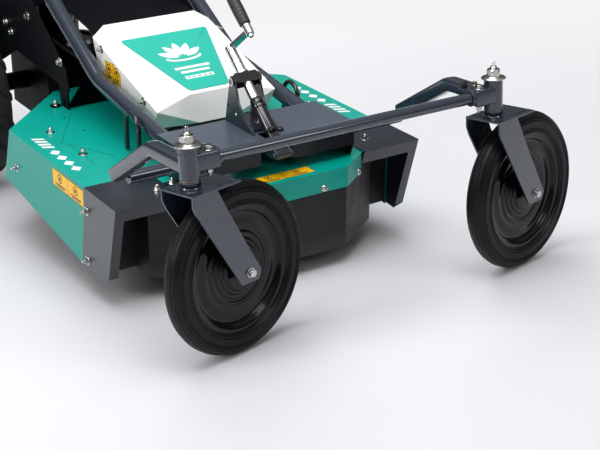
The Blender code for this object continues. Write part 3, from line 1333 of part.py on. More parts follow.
def control_cables():
    # From under the panel: the throttle's to the engine, the clutch's to its block on the deck
    start = BRIDGE_Z - 0.0055
    control_cable("throttle_cable", [
        (-0.090, 1.990, start), (-0.090, 1.985, 0.905), (-0.168, 1.860, 0.870),
        (-0.170, 1.700, 0.800), (-0.170, 1.480, 0.735), (-0.131, 1.445, 0.700),
        (-0.131, 1.3970, 0.700)])
    control_cable("clutch_cable", [
        (0.040, 1.990, start), (0.040, 1.985, 0.905), (0.168, 1.860, 0.870), (0.172, 1.700, 0.800),
        (0.172, 1.470, 0.740), (ANCHOR_X, 1.330, 0.690), (ANCHOR_X, 1.330, 0.600),
        (ANCHOR_X, 1.200, 0.440), (ANCHOR_X, 1.160, 0.411), (ANCHOR_X, ANCHOR_Y + 0.0075, 0.409)])


# Build every node

deck_shell()
deck_skirts()
belt_cover()
front_beam()
jack_yoke()
torque_tube()
cross_tube()
jack_trunnion()
crank()
crank_grip()
jack_foot()
rotor_housing()
rotor()
engine_pulley()
drive_belt()
idler_arm()
idler_pulley()
engine_bed()
front_shield()
transmission_case()
engine_block()
blower_housing()
starter_grip()
fuel_tank()
fuel_cap()
muffler()
air_cleaner()
handle_bridge()
clutch_lever()
panel_lever("throttle_lever", -1, 0.052)
panel_lever("shift_lever", 1, 0.070)
control_cables()
for hand in (-1, 1):
    fairing(hand)
    frame_tube(hand)
    hand_grip(hand)
    chassis_plate(hand)
    caster_arm(hand)
    caster(hand)
    swing_blade(hand)
    drive_wheel(hand)
    steering_lever(hand)


for piece in [obj for obj in PARTS.objects if obj.type != "EMPTY"]:
    to_mesh(piece)


def centre_on_floor():
    # The whole machine moves so that its footprint's middle stands over the origin
    bpy.context.view_layer.update()
    corners = []
    for obj in PARTS.objects:
        if obj.type == "MESH":
            places = np.array([obj.matrix_world @ vert.co for vert in obj.data.vertices])
            corners += [places.min(axis=0), places.max(axis=0)]
    low, high = np.min(corners, axis=0), np.max(corners, axis=0)
    floor_frame.location = (-(low[0] + high[0]) / 2, -(low[1] + high[1]) / 2, -low[2])
    bpy.context.view_layer.update()


centre_on_floor()
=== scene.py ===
import json
import bpy
import bmesh
import numpy as np
from math import atan2, cos, pi, radians, sin
from mathutils import Matrix, Vector
from mathutils.bvhtree import BVHTree


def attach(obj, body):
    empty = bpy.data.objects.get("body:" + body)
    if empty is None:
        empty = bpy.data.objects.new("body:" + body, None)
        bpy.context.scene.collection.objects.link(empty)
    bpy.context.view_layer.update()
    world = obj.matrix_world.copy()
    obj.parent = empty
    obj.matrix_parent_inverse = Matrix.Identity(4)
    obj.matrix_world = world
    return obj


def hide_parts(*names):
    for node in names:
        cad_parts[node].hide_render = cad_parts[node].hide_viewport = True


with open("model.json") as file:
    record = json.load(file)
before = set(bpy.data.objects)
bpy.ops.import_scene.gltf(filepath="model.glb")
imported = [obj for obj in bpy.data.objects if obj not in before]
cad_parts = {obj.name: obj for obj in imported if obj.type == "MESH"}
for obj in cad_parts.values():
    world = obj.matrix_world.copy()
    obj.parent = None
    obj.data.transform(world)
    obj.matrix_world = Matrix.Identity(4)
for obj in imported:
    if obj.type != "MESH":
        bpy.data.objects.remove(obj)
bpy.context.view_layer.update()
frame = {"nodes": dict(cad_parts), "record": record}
nodes = frame["nodes"]
bodyOf = {node: body for body, members in frame["record"]["behaviour"]["bodies"].items()
          for node in members}
print("frame loaded:", len(nodes), "nodes")

bothSides = ((-1, "left"), (1, "right"))

# Where the machine stands in the world: its own centre line, and the nose-down lean of the chassis
machine = {"centreX": -0.109493, "headY": -1.063781, "lean": radians(4.9), "axleY": 1.66,
           "driveRadius": 0.29, "jackSlope": radians(39.5), "trunnionY": 0.485, "trunnionZ": 0.595,
           "headSpacing": 0.83, "swivelLeft": radians(14.26), "swivelRight": radians(13.68),
           "trail": 0.1126, "casterRadius": 0.2003}


# Places: a frame is an origin and three axes as the columns of a matrix

def makeFrame(origin, xAxis, yAxis):
    x, y = np.array(xAxis, float), np.array(yAxis, float)
    return {"origin": np.array(origin, float), "axes": np.stack([x, y, np.cross(x, y)], 1)}


def placed(points, where):
    # Points of the frame in the world: the origin plus each coordinate times its axis
    return np.asarray(points, float) @ where["axes"].T + where["origin"]


def moved(where, offset):
    return {"origin": placed(offset, where), "axes": where["axes"]}


def facing(where, axis):
    # The same origin with the turning axis, z, laid along x or y of the frame
    x, y, z = where["axes"].T
    columns = {"x": (y, z, x), "y": (z, x, y)}[axis]
    return {"origin": where["origin"], "axes": np.stack(columns, 1)}


def aimed(point, normal, turn=0.0):
    # A frame on a surface: z along the normal, x turned about it
    z = unit(np.array(normal, float))
    helper = np.array((1.0, 0, 0)) if abs(z[0]) < 0.8 else np.array((0, 1.0, 0))
    x = unit(np.cross(helper, z))
    y = np.cross(z, x)
    return {"origin": np.array(point, float),
            "axes": np.stack([x * cos(turn) + y * sin(turn), y * cos(turn) - x * sin(turn), z], 1)}


lean = machine["lean"]
axleCentre = np.array((machine["centreX"], machine["headY"] + machine["axleY"], machine["driveRadius"]))
chassisUp = makeFrame(axleCentre, (1, 0, 0), (0, cos(lean), sin(lean)))
# The level drawing of the chassis, which every place on it is given in
chassis = moved(chassisUp, (0, -machine["axleY"], -machine["driveRadius"]))
jackFall = machine["jackSlope"] + lean
jack = makeFrame(placed((0, machine["trunnionY"], machine["trunnionZ"]), chassis), (1, 0, 0),
                 (0, sin(jackFall), -cos(jackFall)))


def casterPivot(side):
    turn = machine["swivelLeft"] if side < 0 else machine["swivelRight"]
    spot = (machine["centreX"] + side * machine["headSpacing"] / 2, machine["headY"], 0)
    return makeFrame(spot, (cos(turn), sin(turn), 0), (-sin(turn), cos(turn), 0))


surfaces = {}


def landed(nodeName, point, direction):
    # A frame on the solid of that name, where a line from the point, in the drawing, first meets it
    start = placed(point, chassis)
    course = np.asarray(direction, float) @ chassis["axes"].T
    if nodeName not in surfaces:
        mesh = nodes[nodeName].data
        corners = [tuple(face.vertices) for face in mesh.polygons]
        surfaces[nodeName] = BVHTree.FromPolygons([v.co for v in mesh.vertices], corners)
    spot, normal = surfaces[nodeName].ray_cast(Vector(start), Vector(unit(course)))[:2]
    if spot is None:
        raise ValueError("no surface of " + nodeName + " below " + str(point))
    return aimed(spot, normal)


def onTop(nodeName, x, y):
    # Where a line straight down from above the machine meets the solid
    return landed(nodeName, (x, y, 0.9), (0, 0, -1))


def onSide(nodeName, side, y, z):
    # Where a line from outside, along x, meets the solid
    return landed(nodeName, (side * 0.9, y, z), (-side, 0, 0))


# Surfaces

def gridFaces(rows, columns):
    # Each face joins a grid point with the next one along both directions; the columns close into a ring
    a, b = np.meshgrid(np.arange(rows - 1), np.arange(columns), indexing="ij")
    bNext = (b + 1) % columns
    quads = [a * columns + b, a * columns + bNext, (a + 1) * columns + bNext, (a + 1) * columns + b]
    return np.stack(quads, -1).reshape(-1, 4)


def endedGrid(rings, first, last):
    # Rings of points joined into one surface, drawn together to a point before the first and after the last
    caps = [np.broadcast_to(end, rings.shape[1:])[None] for end in (first, last)]
    grid = np.concatenate([caps[0], rings, caps[1]])
    return grid.reshape(-1, 3), gridFaces(len(grid), grid.shape[1])


def unit(vectors):
    return vectors / np.linalg.norm(vectors, axis=-1, keepdims=True)


def turnSteps(steps):
    # Even angles once round
    return np.arange(steps) * 2 * pi / steps


def around(radius, angle, height):
    # Radius times cosine and sine of the angle round z, at the height
    return np.stack([radius * np.cos(angle), radius * np.sin(angle), height + 0 * angle], -1)


def turnedGrid(profile, steps):
    # A profile of radius and height, turned once round z
    profile = np.asarray(profile, float)
    angle = turnSteps(steps)
    r, z = profile[:, :1], profile[:, 1:]
    return around(r, angle, z).reshape(-1, 3), gridFaces(len(profile), steps)


def discGrid(radius, low, high, steps):
    return turnedGrid([(0, low), (radius, low), (radius, high), (0, high)], steps)


def roundCorners(points, radius, steps=5, closed=False):
    # Each corner becomes the parabola between two points at the radius from it
    points = np.asarray(points, float)
    before, after = np.roll(points, 1, 0) - points, np.roll(points, -1, 0) - points
    lengthA = np.linalg.norm(before, axis=1, keepdims=True)
    lengthB = np.linalg.norm(after, axis=1, keepdims=True)
    reach = np.minimum(radius, 0.49 * np.minimum(lengthA, lengthB))
    a = points + before / np.maximum(lengthA, 1e-9) * reach
    b = points + after / np.maximum(lengthB, 1e-9) * reach
    t = np.linspace(0, 1, steps)[None, :, None]
    curve = (1 - t) ** 2 * a[:, None] + 2 * t * (1 - t) * points[:, None] + t ** 2 * b[:, None]
    if closed:
        return curve.reshape(-1, points.shape[1])
    inner = curve[1:-1].reshape(-1, points.shape[1])
    return np.concatenate([points[:1], inner, points[-1:]])


def evenPath(points, spacing):
    # The same line with points at even distances along it
    points = np.asarray(points, float)
    step = np.linalg.norm(np.diff(points, axis=0), axis=1)
    along = np.concatenate([[0], np.cumsum(step)])
    count = max(2, int(along[-1] / spacing))
    at = np.linspace(0, along[-1], count)
    return np.stack([np.interp(at, along, points[:, k]) for k in range(3)], 1)


def sweptGrid(path, section, up=(0, 0, 1), scale=1.0):
    # A closed outline, times the scale, carried square to the path: its second axis towards up, flat ends
    path = np.asarray(path, float)
    run = unit(np.gradient(path, axis=0))
    sideways = unit(np.cross(run, np.array(up, float)))
    over = np.cross(sideways, run)
    scale = np.broadcast_to(np.asarray(scale, float), (len(path),))[:, None, None]
    ring = section[None, :, :1] * sideways[:, None] + section[None, :, 1:] * over[:, None]
    return endedGrid(path[:, None] + scale * ring, path[0], path[-1])


def tubeGrid(path, radius, steps=24, up=(0, 0, 1)):
    # A circle carried square to the path, its radius free to change on the way, closed at both ends
    angle = turnSteps(steps)
    return sweptGrid(path, np.stack([np.cos(angle), np.sin(angle)], 1), up, radius)


def hexRadius(angle, across):
    # Distance from the centre to a hexagon's side in that direction
    return across / 2 / np.cos((angle + pi / 6) % (pi / 3) - pi / 6)


def hexGrid(across, height, bore=0.0, low=0.0, dome=0.0):
    # A hexagon cut by a cone at its top and bottom edges, with a dome over it where it has one
    angle = turnSteps(48)
    corner, chamfer = across / 3 ** 0.5, across * 0.11
    levels = np.array([0, 0.3, 0.65, 1.0]) * chamfer
    z = np.concatenate([levels, height - levels[::-1]])
    rim = across * 0.475
    cone = np.interp(z, [0, chamfer, height - chamfer, height], [rim, corner, corner, rim])
    radius = np.minimum(hexRadius(angle, across)[None], cone[:, None])
    rows = [around(r, angle, h) for r, h in zip(radius, z)]
    first = around(bore, angle, 0)
    last = [first + (0, 0, height)]
    if dome:
        bow = np.linspace(0, pi / 2, 8)
        spread = across * 0.44 * np.cos(bow)
        rise = height + dome * (0.25 + 0.75 * np.sin(bow))
        last = [around(spread[0], angle, height)]
        last += [around(s, angle, h) for s, h in zip(spread, rise)]
    grid = np.stack([first, *rows, *last]) + (0, 0, low)
    return grid.reshape(-1, 3), gridFaces(len(grid), len(angle))


def joined(*shapes):
    # Several shapes as one list of points and faces
    start = np.cumsum([0] + [len(s[0]) for s in shapes[:-1]])
    return (np.concatenate([s[0] for s in shapes]),
            np.concatenate([s[1] + k for s, k in zip(shapes, start)]))


def shifted(shape, offset):
    return shape[0] + np.asarray(offset, float), shape[1]


def inFrame(shape, where):
    return placed(shape[0], where), shape[1]


def boxGrid(size, middle, corner=0.0, steps=4):
    # A rounded rectangle as stacked rings, drawn in at the top and bottom by the corner radius
    half = np.array(size) / 2
    corner = min(corner, 0.98 * half.min()) if corner else 0.0004
    ring = roundCorners([(-half[0], -half[1]), (half[0], -half[1]), (half[0], half[1]),
                         (-half[0], half[1])], corner, steps, closed=True)
    bow = np.linspace(0, pi / 2, 4)
    inset = np.concatenate([corner * (1 - np.cos(bow[::-1])), corner * (1 - np.cos(bow))])
    z = np.concatenate([-half[2] + corner * (1 - np.sin(bow[::-1])), half[2] - corner * (1 - np.sin(bow))])
    scale = 1 - inset[:, None, None] / half[:2].min()
    rings = np.concatenate([ring[None] * scale, np.repeat(z[:, None, None], len(ring), 1)], -1)
    return shifted(endedGrid(rings, (0, 0, -half[2]), (0, 0, half[2])), middle)


def makePiece(name, shape, finish, body="chassis", stands=(), sharpAngle=38):
    # Points and faces into a mesh: poles closed, faces outwards, shaded smooth up to the angle
    points, faces = shape
    mesh = bpy.data.meshes.new(name)
    mesh.vertices.add(len(points))
    mesh.vertices.foreach_set("co", np.ascontiguousarray(points, dtype=np.float32).ravel())
    mesh.loops.add(faces.size)
    mesh.loops.foreach_set("vertex_index", np.ascontiguousarray(faces, dtype=np.int32).ravel())
    mesh.polygons.add(len(faces))
    mesh.polygons.foreach_set("loop_start", np.arange(len(faces), dtype=np.int32) * faces.shape[1])
    mesh.update(calc_edges=True)
    work = bmesh.new()
    work.from_mesh(mesh)
    bmesh.ops.remove_doubles(work, verts=work.verts, dist=1e-5)
    bmesh.ops.dissolve_degenerate(work, edges=work.edges, dist=1e-7)
    bmesh.ops.recalc_face_normals(work, faces=work.faces)
    work.to_mesh(mesh)
    work.free()
    return finishPiece(name, mesh, finish, body, stands, sharpAngle)


def addObject(name, data):
    made = bpy.data.objects.new(name, data)
    bpy.context.scene.collection.objects.link(made)
    return made


def finishPiece(name, mesh, finish, body, stands=(), sharpAngle=38):
    mesh.shade_smooth()
    mesh.set_sharp_from_angle(angle=radians(sharpAngle))
    mesh.materials.clear()
    mesh.materials.append(finishes[finish])
    piece = addObject(name, mesh)
    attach(piece, body)
    if stands:
        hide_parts(*stands)
    return piece


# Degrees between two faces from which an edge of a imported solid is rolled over
edgeAngle = 33


def softenNode(nodeName, finish, bevelWidth):
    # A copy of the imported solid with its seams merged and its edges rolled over
    mesh = nodes[nodeName].data.copy()
    mesh.name = nodeName + "_dressed"
    work = bmesh.new()
    work.from_mesh(mesh)
    bmesh.ops.remove_doubles(work, verts=work.verts, dist=2e-5)
    bmesh.ops.dissolve_limit(work, angle_limit=radians(0.8), verts=work.verts, edges=work.edges)
    work.to_mesh(mesh)
    work.free()
    if "custom_normal" in mesh.attributes:
        mesh.attributes.remove(mesh.attributes["custom_normal"])
    piece = finishPiece(nodeName + "_dressed", mesh, finish, bodyOf[nodeName], (nodeName,), edgeAngle)
    edge = piece.modifiers.new("rolledEdge", "BEVEL")
    edge.width = bevelWidth
    edge.segments = 2
    edge.limit_method = "ANGLE"
    edge.angle_limit = radians(edgeAngle)
    edge.harden_normals = True
    edge.miter_outer = "MITER_ARC"
    return piece


# Finishes: nodes on object coordinates

finishParts = {"noiseRoughness": 0.55, "streakScale": 24, "bumpDepth": 0.0004,
               "dustTone": (0.32, 0.3, 0.26)}


def feed(tree, node, inputs):
    # Each input takes a number or a colour, or is linked to the socket of another node
    for key, value in inputs.items():
        if isinstance(value, bpy.types.NodeSocket):
            tree.links.new(value, node.inputs[key])
        else:
            node.inputs[key].default_value = value
    return node


def addNode(tree, kind, at, inputs=None, **values):
    node = tree.nodes.new(kind)
    node.location = at
    for key, value in values.items():
        setattr(node, key, value)
    return feed(tree, node, inputs or {})


def noiseFrom(tree, coords, scale, detail, at, stretch=None):
    if stretch:
        mapping = addNode(tree, "ShaderNodeMapping", (at[0] - 200, at[1]),
                          {"Scale": stretch, "Vector": coords})
        coords = mapping.outputs["Vector"]
    inputs = {"Scale": scale, "Detail": detail, "Roughness": finishParts["noiseRoughness"],
              "Vector": coords}
    return addNode(tree, "ShaderNodeTexNoise", at, inputs).outputs["Fac"]


def remapped(tree, value, low, high, newLow, newHigh, at):
    inputs = {"Value": value, "From Min": low, "From Max": high, "To Min": newLow, "To Max": newHigh}
    return addNode(tree, "ShaderNodeMapRange", at, inputs).outputs["Result"]


def mixedTone(tree, share, first, second, at):
    inputs = {"Factor": share, "A": first, "B": second}
    return addNode(tree, "ShaderNodeMix", at, inputs, data_type="RGBA").outputs["Result"]


def makeFinish(name, look):
    # Two close tones mixed by a broad noise, roughness from a streaky one, and a fine bump
    finish = bpy.data.materials.new(name)
    finish.use_nodes = True
    tree = finish.node_tree
    coords = addNode(tree, "ShaderNodeTexCoord", (-1200, 0)).outputs["Object"]
    cloud = noiseFrom(tree, coords, look.get("cloudScale", 9), 4, (-800, 300))
    shaded = remapped(tree, cloud, 0.35, 0.7, 0, 1, (-600, 300))
    colour = mixedTone(tree, shaded, (*look["colour"], 1), (*look["shade"], 1), (-400, 300))
    if "dust" in look:
        # Dust thickens towards the ground: the height is remapped and broken up by the noise
        height = addNode(tree, "ShaderNodeSeparateXYZ", (-1000, 560), {"Vector": coords}).outputs["Z"]
        near = remapped(tree, height, 0.0, look["dustHeight"], look["dust"], 0.0, (-800, 560))
        grains = noiseFrom(tree, coords, 45, 6, (-800, 760))
        patchy = addNode(tree, "ShaderNodeMath", (-600, 560), {0: near, 1: grains}, operation="MULTIPLY")
        dust = (*finishParts["dustTone"], 1)
        colour = mixedTone(tree, patchy.outputs["Value"], colour, dust, (-200, 420))
    streak = noiseFrom(tree, coords, finishParts["streakScale"], 5, (-800, 0), look.get("stretch"))
    middle, spread = look["roughness"], look.get("spread", 0.06)
    roughness = remapped(tree, streak, 0.3, 0.75, middle - spread, middle + spread, (-600, 0))
    grain = noiseFrom(tree, coords, look.get("grainScale", 700), look.get("grainDetail", 2), (-800, -300),
                      look.get("stretch"))
    relief = {"Strength": look["grain"], "Distance": finishParts["bumpDepth"], "Height": grain}
    bump = addNode(tree, "ShaderNodeBump", (-300, -300), relief)
    feed(tree, tree.nodes["Principled BSDF"],
         {"Base Color": colour, "Roughness": roughness, "Normal": bump.outputs["Normal"],
          "Metallic": look.get("metallic", 0.0), "Specular IOR Level": look.get("specular", 0.5),
          "Coat Weight": look.get("coat", 0.0), "Coat Roughness": look.get("coatRoughness", 0.08)})
    finish.diffuse_color = (*look["colour"], 1)
    return finish


def paint(colour, shade, roughness, **more):
    return {"colour": colour, "shade": shade, "roughness": roughness, **more}


looks = {
    "deckGreen": paint((0.0, 0.33, 0.262), (0.0, 0.304, 0.24), 0.34, coat=0.06, specular=0.28, spread=0.02,
                       grain=0.012, dust=0.04, dustHeight=0.12),
    # Dark green for the painted shade inside the deck, and for the dark seam lines on its top
    "deckShadeAndSeamDark": paint((0.01, 0.03, 0.026), (0.016, 0.022, 0.02), 0.75, specular=0.2, grainScale=300,
                        grain=0.2),
    "slatePaint": paint((0.013, 0.022, 0.039), (0.011, 0.019, 0.034), 0.28, coat=0.9, spread=0.02,
                        coatRoughness=0.07, grain=0.005),
    "fairingPaint": paint((0.006, 0.0115, 0.022), (0.005, 0.0095, 0.019), 0.38, coat=0.7, spread=0.02,
                          coatRoughness=0.2, grain=0.005),
    # Slate lightened as a painted highlight; it stays only on the beam's upward faces
    "beamPaintedLightTop": paint((0.064, 0.082, 0.112), (0.058, 0.075, 0.103), 0.3, coat=0.8, spread=0.02,
                       coatRoughness=0.12, grain=0.004),
    "coverWhite": paint((0.9, 0.895, 0.875), (0.88, 0.875, 0.855), 0.4, coat=0.08, spread=0.02,
                        grain=0.012),
    "rimBlack": paint((0.003, 0.003, 0.0038), (0.0042, 0.0042, 0.005), 0.16, coat=0.2, specular=0.16,
                      coatRoughness=0.05, grainScale=500, grain=0.004, spread=0.02),
    "blackPaint": paint((0.005, 0.0056, 0.0078), (0.0068, 0.0074, 0.0098), 0.36, coat=0.12, specular=0.28,
                        spread=0.02, grain=0.015),
    "glossBlack": paint((0.005, 0.0054, 0.007), (0.0066, 0.007, 0.0088), 0.2, coat=0.7, specular=0.4,
                        spread=0.02, coatRoughness=0.04, grain=0.01),
    "caseBlack": paint((0.0012, 0.0017, 0.003), (0.002, 0.0025, 0.0038), 0.5, specular=0.08, spread=0.05,
                       grainScale=400, grain=0.06),
    "casterRubber": paint((0.005, 0.005, 0.006), (0.007, 0.007, 0.0078), 0.33, specular=0.18, spread=0.05,
                          grainScale=900, grain=0.03, dust=0.08, dustHeight=0.02),
    "driveRubber": paint((0.013, 0.013, 0.014), (0.022, 0.021, 0.02), 0.68, spread=0.1, grain=0.16,
                         dust=0.35, dustHeight=0.08),
    "skirtRubber": paint((0.008, 0.008, 0.0088), (0.011, 0.011, 0.0118), 0.5, specular=0.35, spread=0.1,
                         grainScale=520, grain=0.14, dust=0.25, dustHeight=0.1),
    "gripRubber": paint((0.012, 0.012, 0.013), (0.018, 0.018, 0.019), 0.62, grainScale=1400, grain=0.25),
    "zincPlate": paint((0.6, 0.6, 0.57), (0.5, 0.5, 0.46), 0.22, metallic=1.0, spread=0.05, cloudScale=60,
                       grainScale=900, grain=0.05),
    "yellowZinc": paint((0.5, 0.41, 0.2), (0.4, 0.36, 0.24), 0.34, metallic=1.0, spread=0.08, cloudScale=40,
                        grain=0.05),
    "chromePlate": paint((0.8, 0.8, 0.81), (0.74, 0.74, 0.76), 0.14, metallic=1.0, spread=0.05,
                         cloudScale=30, grainScale=500, grain=0.02),
    "bladeSteel": paint((0.34, 0.33, 0.32), (0.24, 0.22, 0.2), 0.38, metallic=1.0, spread=0.12,
                        stretch=(1, 14, 14), grainScale=60, grain=0.2, cloudScale=18),
    "castAluminium": paint((0.26, 0.26, 0.26), (0.2, 0.2, 0.2), 0.52, metallic=0.9, grainScale=260,
                           grain=0.35, grainDetail=4, cloudScale=14),
    "mufflerSteel": paint((0.2, 0.19, 0.18), (0.26, 0.2, 0.15), 0.45, metallic=1.0, spread=0.12,
                          cloudScale=22, grainScale=500, grain=0.08),
    "blackPlastic": paint((0.016, 0.016, 0.018), (0.021, 0.021, 0.023), 0.46, grainScale=1100, grain=0.22),
    "greyPlastic": paint((0.12, 0.125, 0.135), (0.1, 0.105, 0.115), 0.46, grainScale=1100, grain=0.2),
    "beltRubber": paint((0.014, 0.014, 0.015), (0.024, 0.023, 0.022), 0.72, grainScale=800, grain=0.2,
                        stretch=(4, 4, 1)),
    "cableSleeve": paint((0.01, 0.01, 0.011), (0.015, 0.015, 0.016), 0.42, grainScale=900, grain=0.06),
    "markWhite": paint((0.84, 0.84, 0.83), (0.8, 0.8, 0.79), 0.4, coat=0.3, grainScale=300, grain=0.03),
    "labelGreen": paint((0.0, 0.44, 0.335), (0.0, 0.41, 0.31), 0.36, coat=0.4, grainScale=300, grain=0.03),
    "labelYellow": paint((0.96, 0.53, 0.004), (0.93, 0.5, 0.004), 0.38, coat=0.1, grainScale=300,
                         grain=0.03),
    "markBlack": paint((0.012, 0.012, 0.012), (0.018, 0.018, 0.018), 0.42, grainScale=300, grain=0.03)}
finishes = {name: makeFinish(name, look) for name, look in looks.items()}
print("finishes made:", len(finishes))


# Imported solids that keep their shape, with rolled edges and the real finish

dressed = {
    "deckGreen": {"deck_shell": 0.0011},
    "beamPaintedLightTop": {"front_beam": 0.0014},
    "fairingPaint": {"fairing_left": 0.0011, "fairing_right": 0.0011, "jack_yoke": 0.001},
    "glossBlack": {"jack_trunnion": 0.0008},
    "slatePaint": {"torque_tube": 0.001, "cross_tube": 0.001, "fork_left": 0.0013, "fork_right": 0.0013,
                   "handle_bridge": 0.0016},
    "coverWhite": {"belt_cover": 0.0024},
    "skirtRubber": {"front_skirt": 0.001, "rear_flap": 0.001},
    "beltRubber": {"drive_belt": 0.0006},
    "castAluminium": {"rotor_housing": 0.0015, "engine_block": 0.001},
    "bladeSteel": {"rotor": 0.0008, "swing_blade_a": 0.0006, "swing_blade_b": 0.0006,
                   "engine_pulley": 0.0006},
    "zincPlate": {"idler_arm": 0.0006, "idler_pulley": 0.0008},
    "caseBlack": {"transmission_case": 0.003, "chassis_plate_left": 0.0012, "chassis_plate_right": 0.0012,
                  "engine_bed": 0.0012, "front_shield": 0.001},
    "blackPaint": {"steering_lever_left": 0.001, "steering_lever_right": 0.001, "throttle_lever": 0.0006,
                   "shift_lever": 0.0006},
    "blackPlastic": {"fuel_tank": 0.004, "air_cleaner": 0.003, "fuel_cap": 0.001},
    "mufflerSteel": {"muffler": 0.0016}}
softened = {}
for finishName, group in dressed.items():
    for nodeName, width in group.items():
        softened[nodeName] = softenNode(nodeName, finishName, width)


def facesOf(mesh):
    # Normals and centres of all faces, in the drawing of the chassis
    normals, centres = np.zeros(len(mesh.polygons) * 3), np.zeros(len(mesh.polygons) * 3)
    mesh.polygons.foreach_get("normal", normals)
    mesh.polygons.foreach_get("center", centres)
    normals, centres = normals.reshape(-1, 3), centres.reshape(-1, 3)
    return normals @ chassis["axes"], (centres - chassis["origin"]) @ chassis["axes"]


def secondFinish(piece, finish, chosen):
    piece.data.materials.append(finishes[finish])
    piece.data.polygons.foreach_set("material_index", chosen.astype(np.int32))


# Upright share of the normal from which a face counts as level
levelFace = 0.5
# Middle of the cutting chamber, and the height below which its walls carry the painted shade, in the
# drawing
deckMiddle, deckCeiling = (0, 0.72, 0), 0.386

# Painted shade in the deck: every face that looks down, or towards its middle below the top, is painted
# dark in place of the green
deckNormals, deckCentres = facesOf(softened["deck_shell"].data)
inward = ((np.array(deckMiddle) - deckCentres) * deckNormals)[:, :2].sum(1)
paintedShadeFaces = (deckNormals[:, 2] < -levelFace) | ((inward > 0) & (abs(deckNormals[:, 2]) < levelFace)
                                                & (deckCentres[:, 2] < deckCeiling))
secondFinish(softened["deck_shell"], "deckShadeAndSeamDark", paintedShadeFaces)
# Painted light on the beam: upward faces keep the lightened slate as a painted highlight, all other faces
# take black paint as painted shade
beamNormals = facesOf(softened["front_beam"].data)[0]
secondFinish(softened["front_beam"], "blackPaint", beamNormals[:, 2] < levelFace)
print("solids dressed:", sum(len(group) for group in dressed.values()))


# Front casters

casterTyre = {"outer": 0.2006, "bead": 0.1462, "half": 0.025, "ribs": 5, "ribDepth": 0.0011, "steps": 160}
casterRim = {"edge": 0.1485, "hub": 0.0165, "hubHalf": 0.0452, "steps": 144}


def makeCasterTyre(label, axle, body):
    # Half section from the bead over the side wall to the crown; rings are sines of the distance along it
    v = casterTyre
    half = np.array([(v["bead"], v["half"] - 0.0058), (v["bead"] + 0.0022, v["half"] - 0.0022),
                     (0.152, v["half"]), (0.164, v["half"] + 0.0002), (0.178, v["half"]),
                     (0.1868, v["half"] - 0.0012), (0.1925, v["half"] - 0.0048),
                     (0.1968, v["half"] - 0.011), (v["outer"] - 0.0012, 0.008), (v["outer"], 0.0)])
    curve = roundCorners(half, 0.004, 6)
    flat = np.concatenate([curve, np.zeros((len(curve), 1))], 1)
    curve = evenPath(flat, 0.00045)[:, :2]
    run = np.gradient(curve, axis=0)
    out = unit(np.stack([run[:, 1], -run[:, 0]], 1))
    r, w = curve.T
    sunk = np.zeros(len(r))
    for centre, width, depth in ((0.153, 0.0015, 0.0026), (0.159, 0.0011, 0.002), (0.1765, 0.0012, 0.0022),
                                 (0.182, 0.0012, 0.0022)):
        sunk += depth * np.exp(-((r - centre) / width) ** 2) * (w > 0.018)
    tread = (w < 0.0235) & (r > 0.188)
    sunk += tread * v["ribDepth"] * np.clip(np.sin(w / 0.0225 * v["ribs"] * pi - pi / 2), -0.2, 1) ** 2
    curve = curve - out * sunk[:, None]
    curve[-1, 1] = 0.0
    mirror = curve[::-1][1:] * (1, -1)
    section = np.concatenate([curve, mirror])
    points, faces = turnedGrid(section, v["steps"])
    closing = gridFaces(2, v["steps"])
    count = len(section)
    last = np.where(closing >= v["steps"], closing - v["steps"], closing + (count - 1) * v["steps"])
    shape = (points, np.concatenate([faces, last]))
    makePiece("caster_tyre_%s_ribbed" % label, inFrame(shape, axle), "casterRubber", body,
              ("caster_tyre_" + label,), 30)


def makeCasterRim(label, axle, body):
    # Pressed dish: hub, drawn rings and a rolled edge, mirrored to the far side
    v = casterRim
    face = np.array([(0.0066, v["hubHalf"]), (0.0158, v["hubHalf"]), (v["hub"], v["hubHalf"] - 0.001),
                     (0.0172, 0.0262), (0.02, 0.0236), (0.04, 0.0226), (0.046, 0.0218), (0.0505, 0.017),
                     (0.056, 0.0176), (0.061, 0.0122), (0.067, 0.013), (0.073, 0.0078), (0.081, 0.0112),
                     (0.088, 0.0072), (0.1, 0.0086), (0.112, 0.0066), (0.122, 0.0056), (0.129, 0.0086),
                     (0.134, 0.016), (0.139, 0.0186), (0.144, 0.0192), (v["edge"], 0.0208),
                     (v["edge"] + 0.0012, 0.0222), (v["edge"], 0.0234), (0.1462, 0.0226), (0.1458, 0.015)])
    curve = roundCorners(face, 0.0042, 6)
    section = np.concatenate([curve, curve[::-1] * (1, -1), curve[:1]])
    shape = turnedGrid(section, v["steps"])
    makePiece("caster_rim_%s_dished" % label, inFrame(shape, axle), "rimBlack", body,
              ("caster_rim_" + label,), 40)


def threadedRod(radius, low, high, pitch, steps=32):
    # The radius follows a sine of the height, with a cone at each end
    z = np.linspace(low, high, int((high - low) / pitch * 8))
    r = radius - pitch * 0.28 * (0.5 + 0.5 * np.sin(2 * pi * z / pitch))
    r = np.minimum(r, radius * 0.8 + np.minimum(z - low, high - z))
    profile = np.concatenate([[(0, low)], np.stack([r, z], 1), [(0, high)]])
    return turnedGrid(profile, steps)


def washerGrid(inner, outer, low, height, steps=48, edge=None):
    edge = edge or min(height * 0.35, 0.0006)
    return turnedGrid([(inner, low), (outer - edge, low), (outer, low + edge), (outer, low + height - edge),
                       (outer - edge, low + height), (inner, low + height), (inner, low)], steps)


kingpinStack = {"seat": 0.5103, "washer": 0.0298, "thick": 0.005, "nutAcross": 0.03, "nutHeight": 0.0175,
                "stud": 0.0085, "studRise": 0.0262}


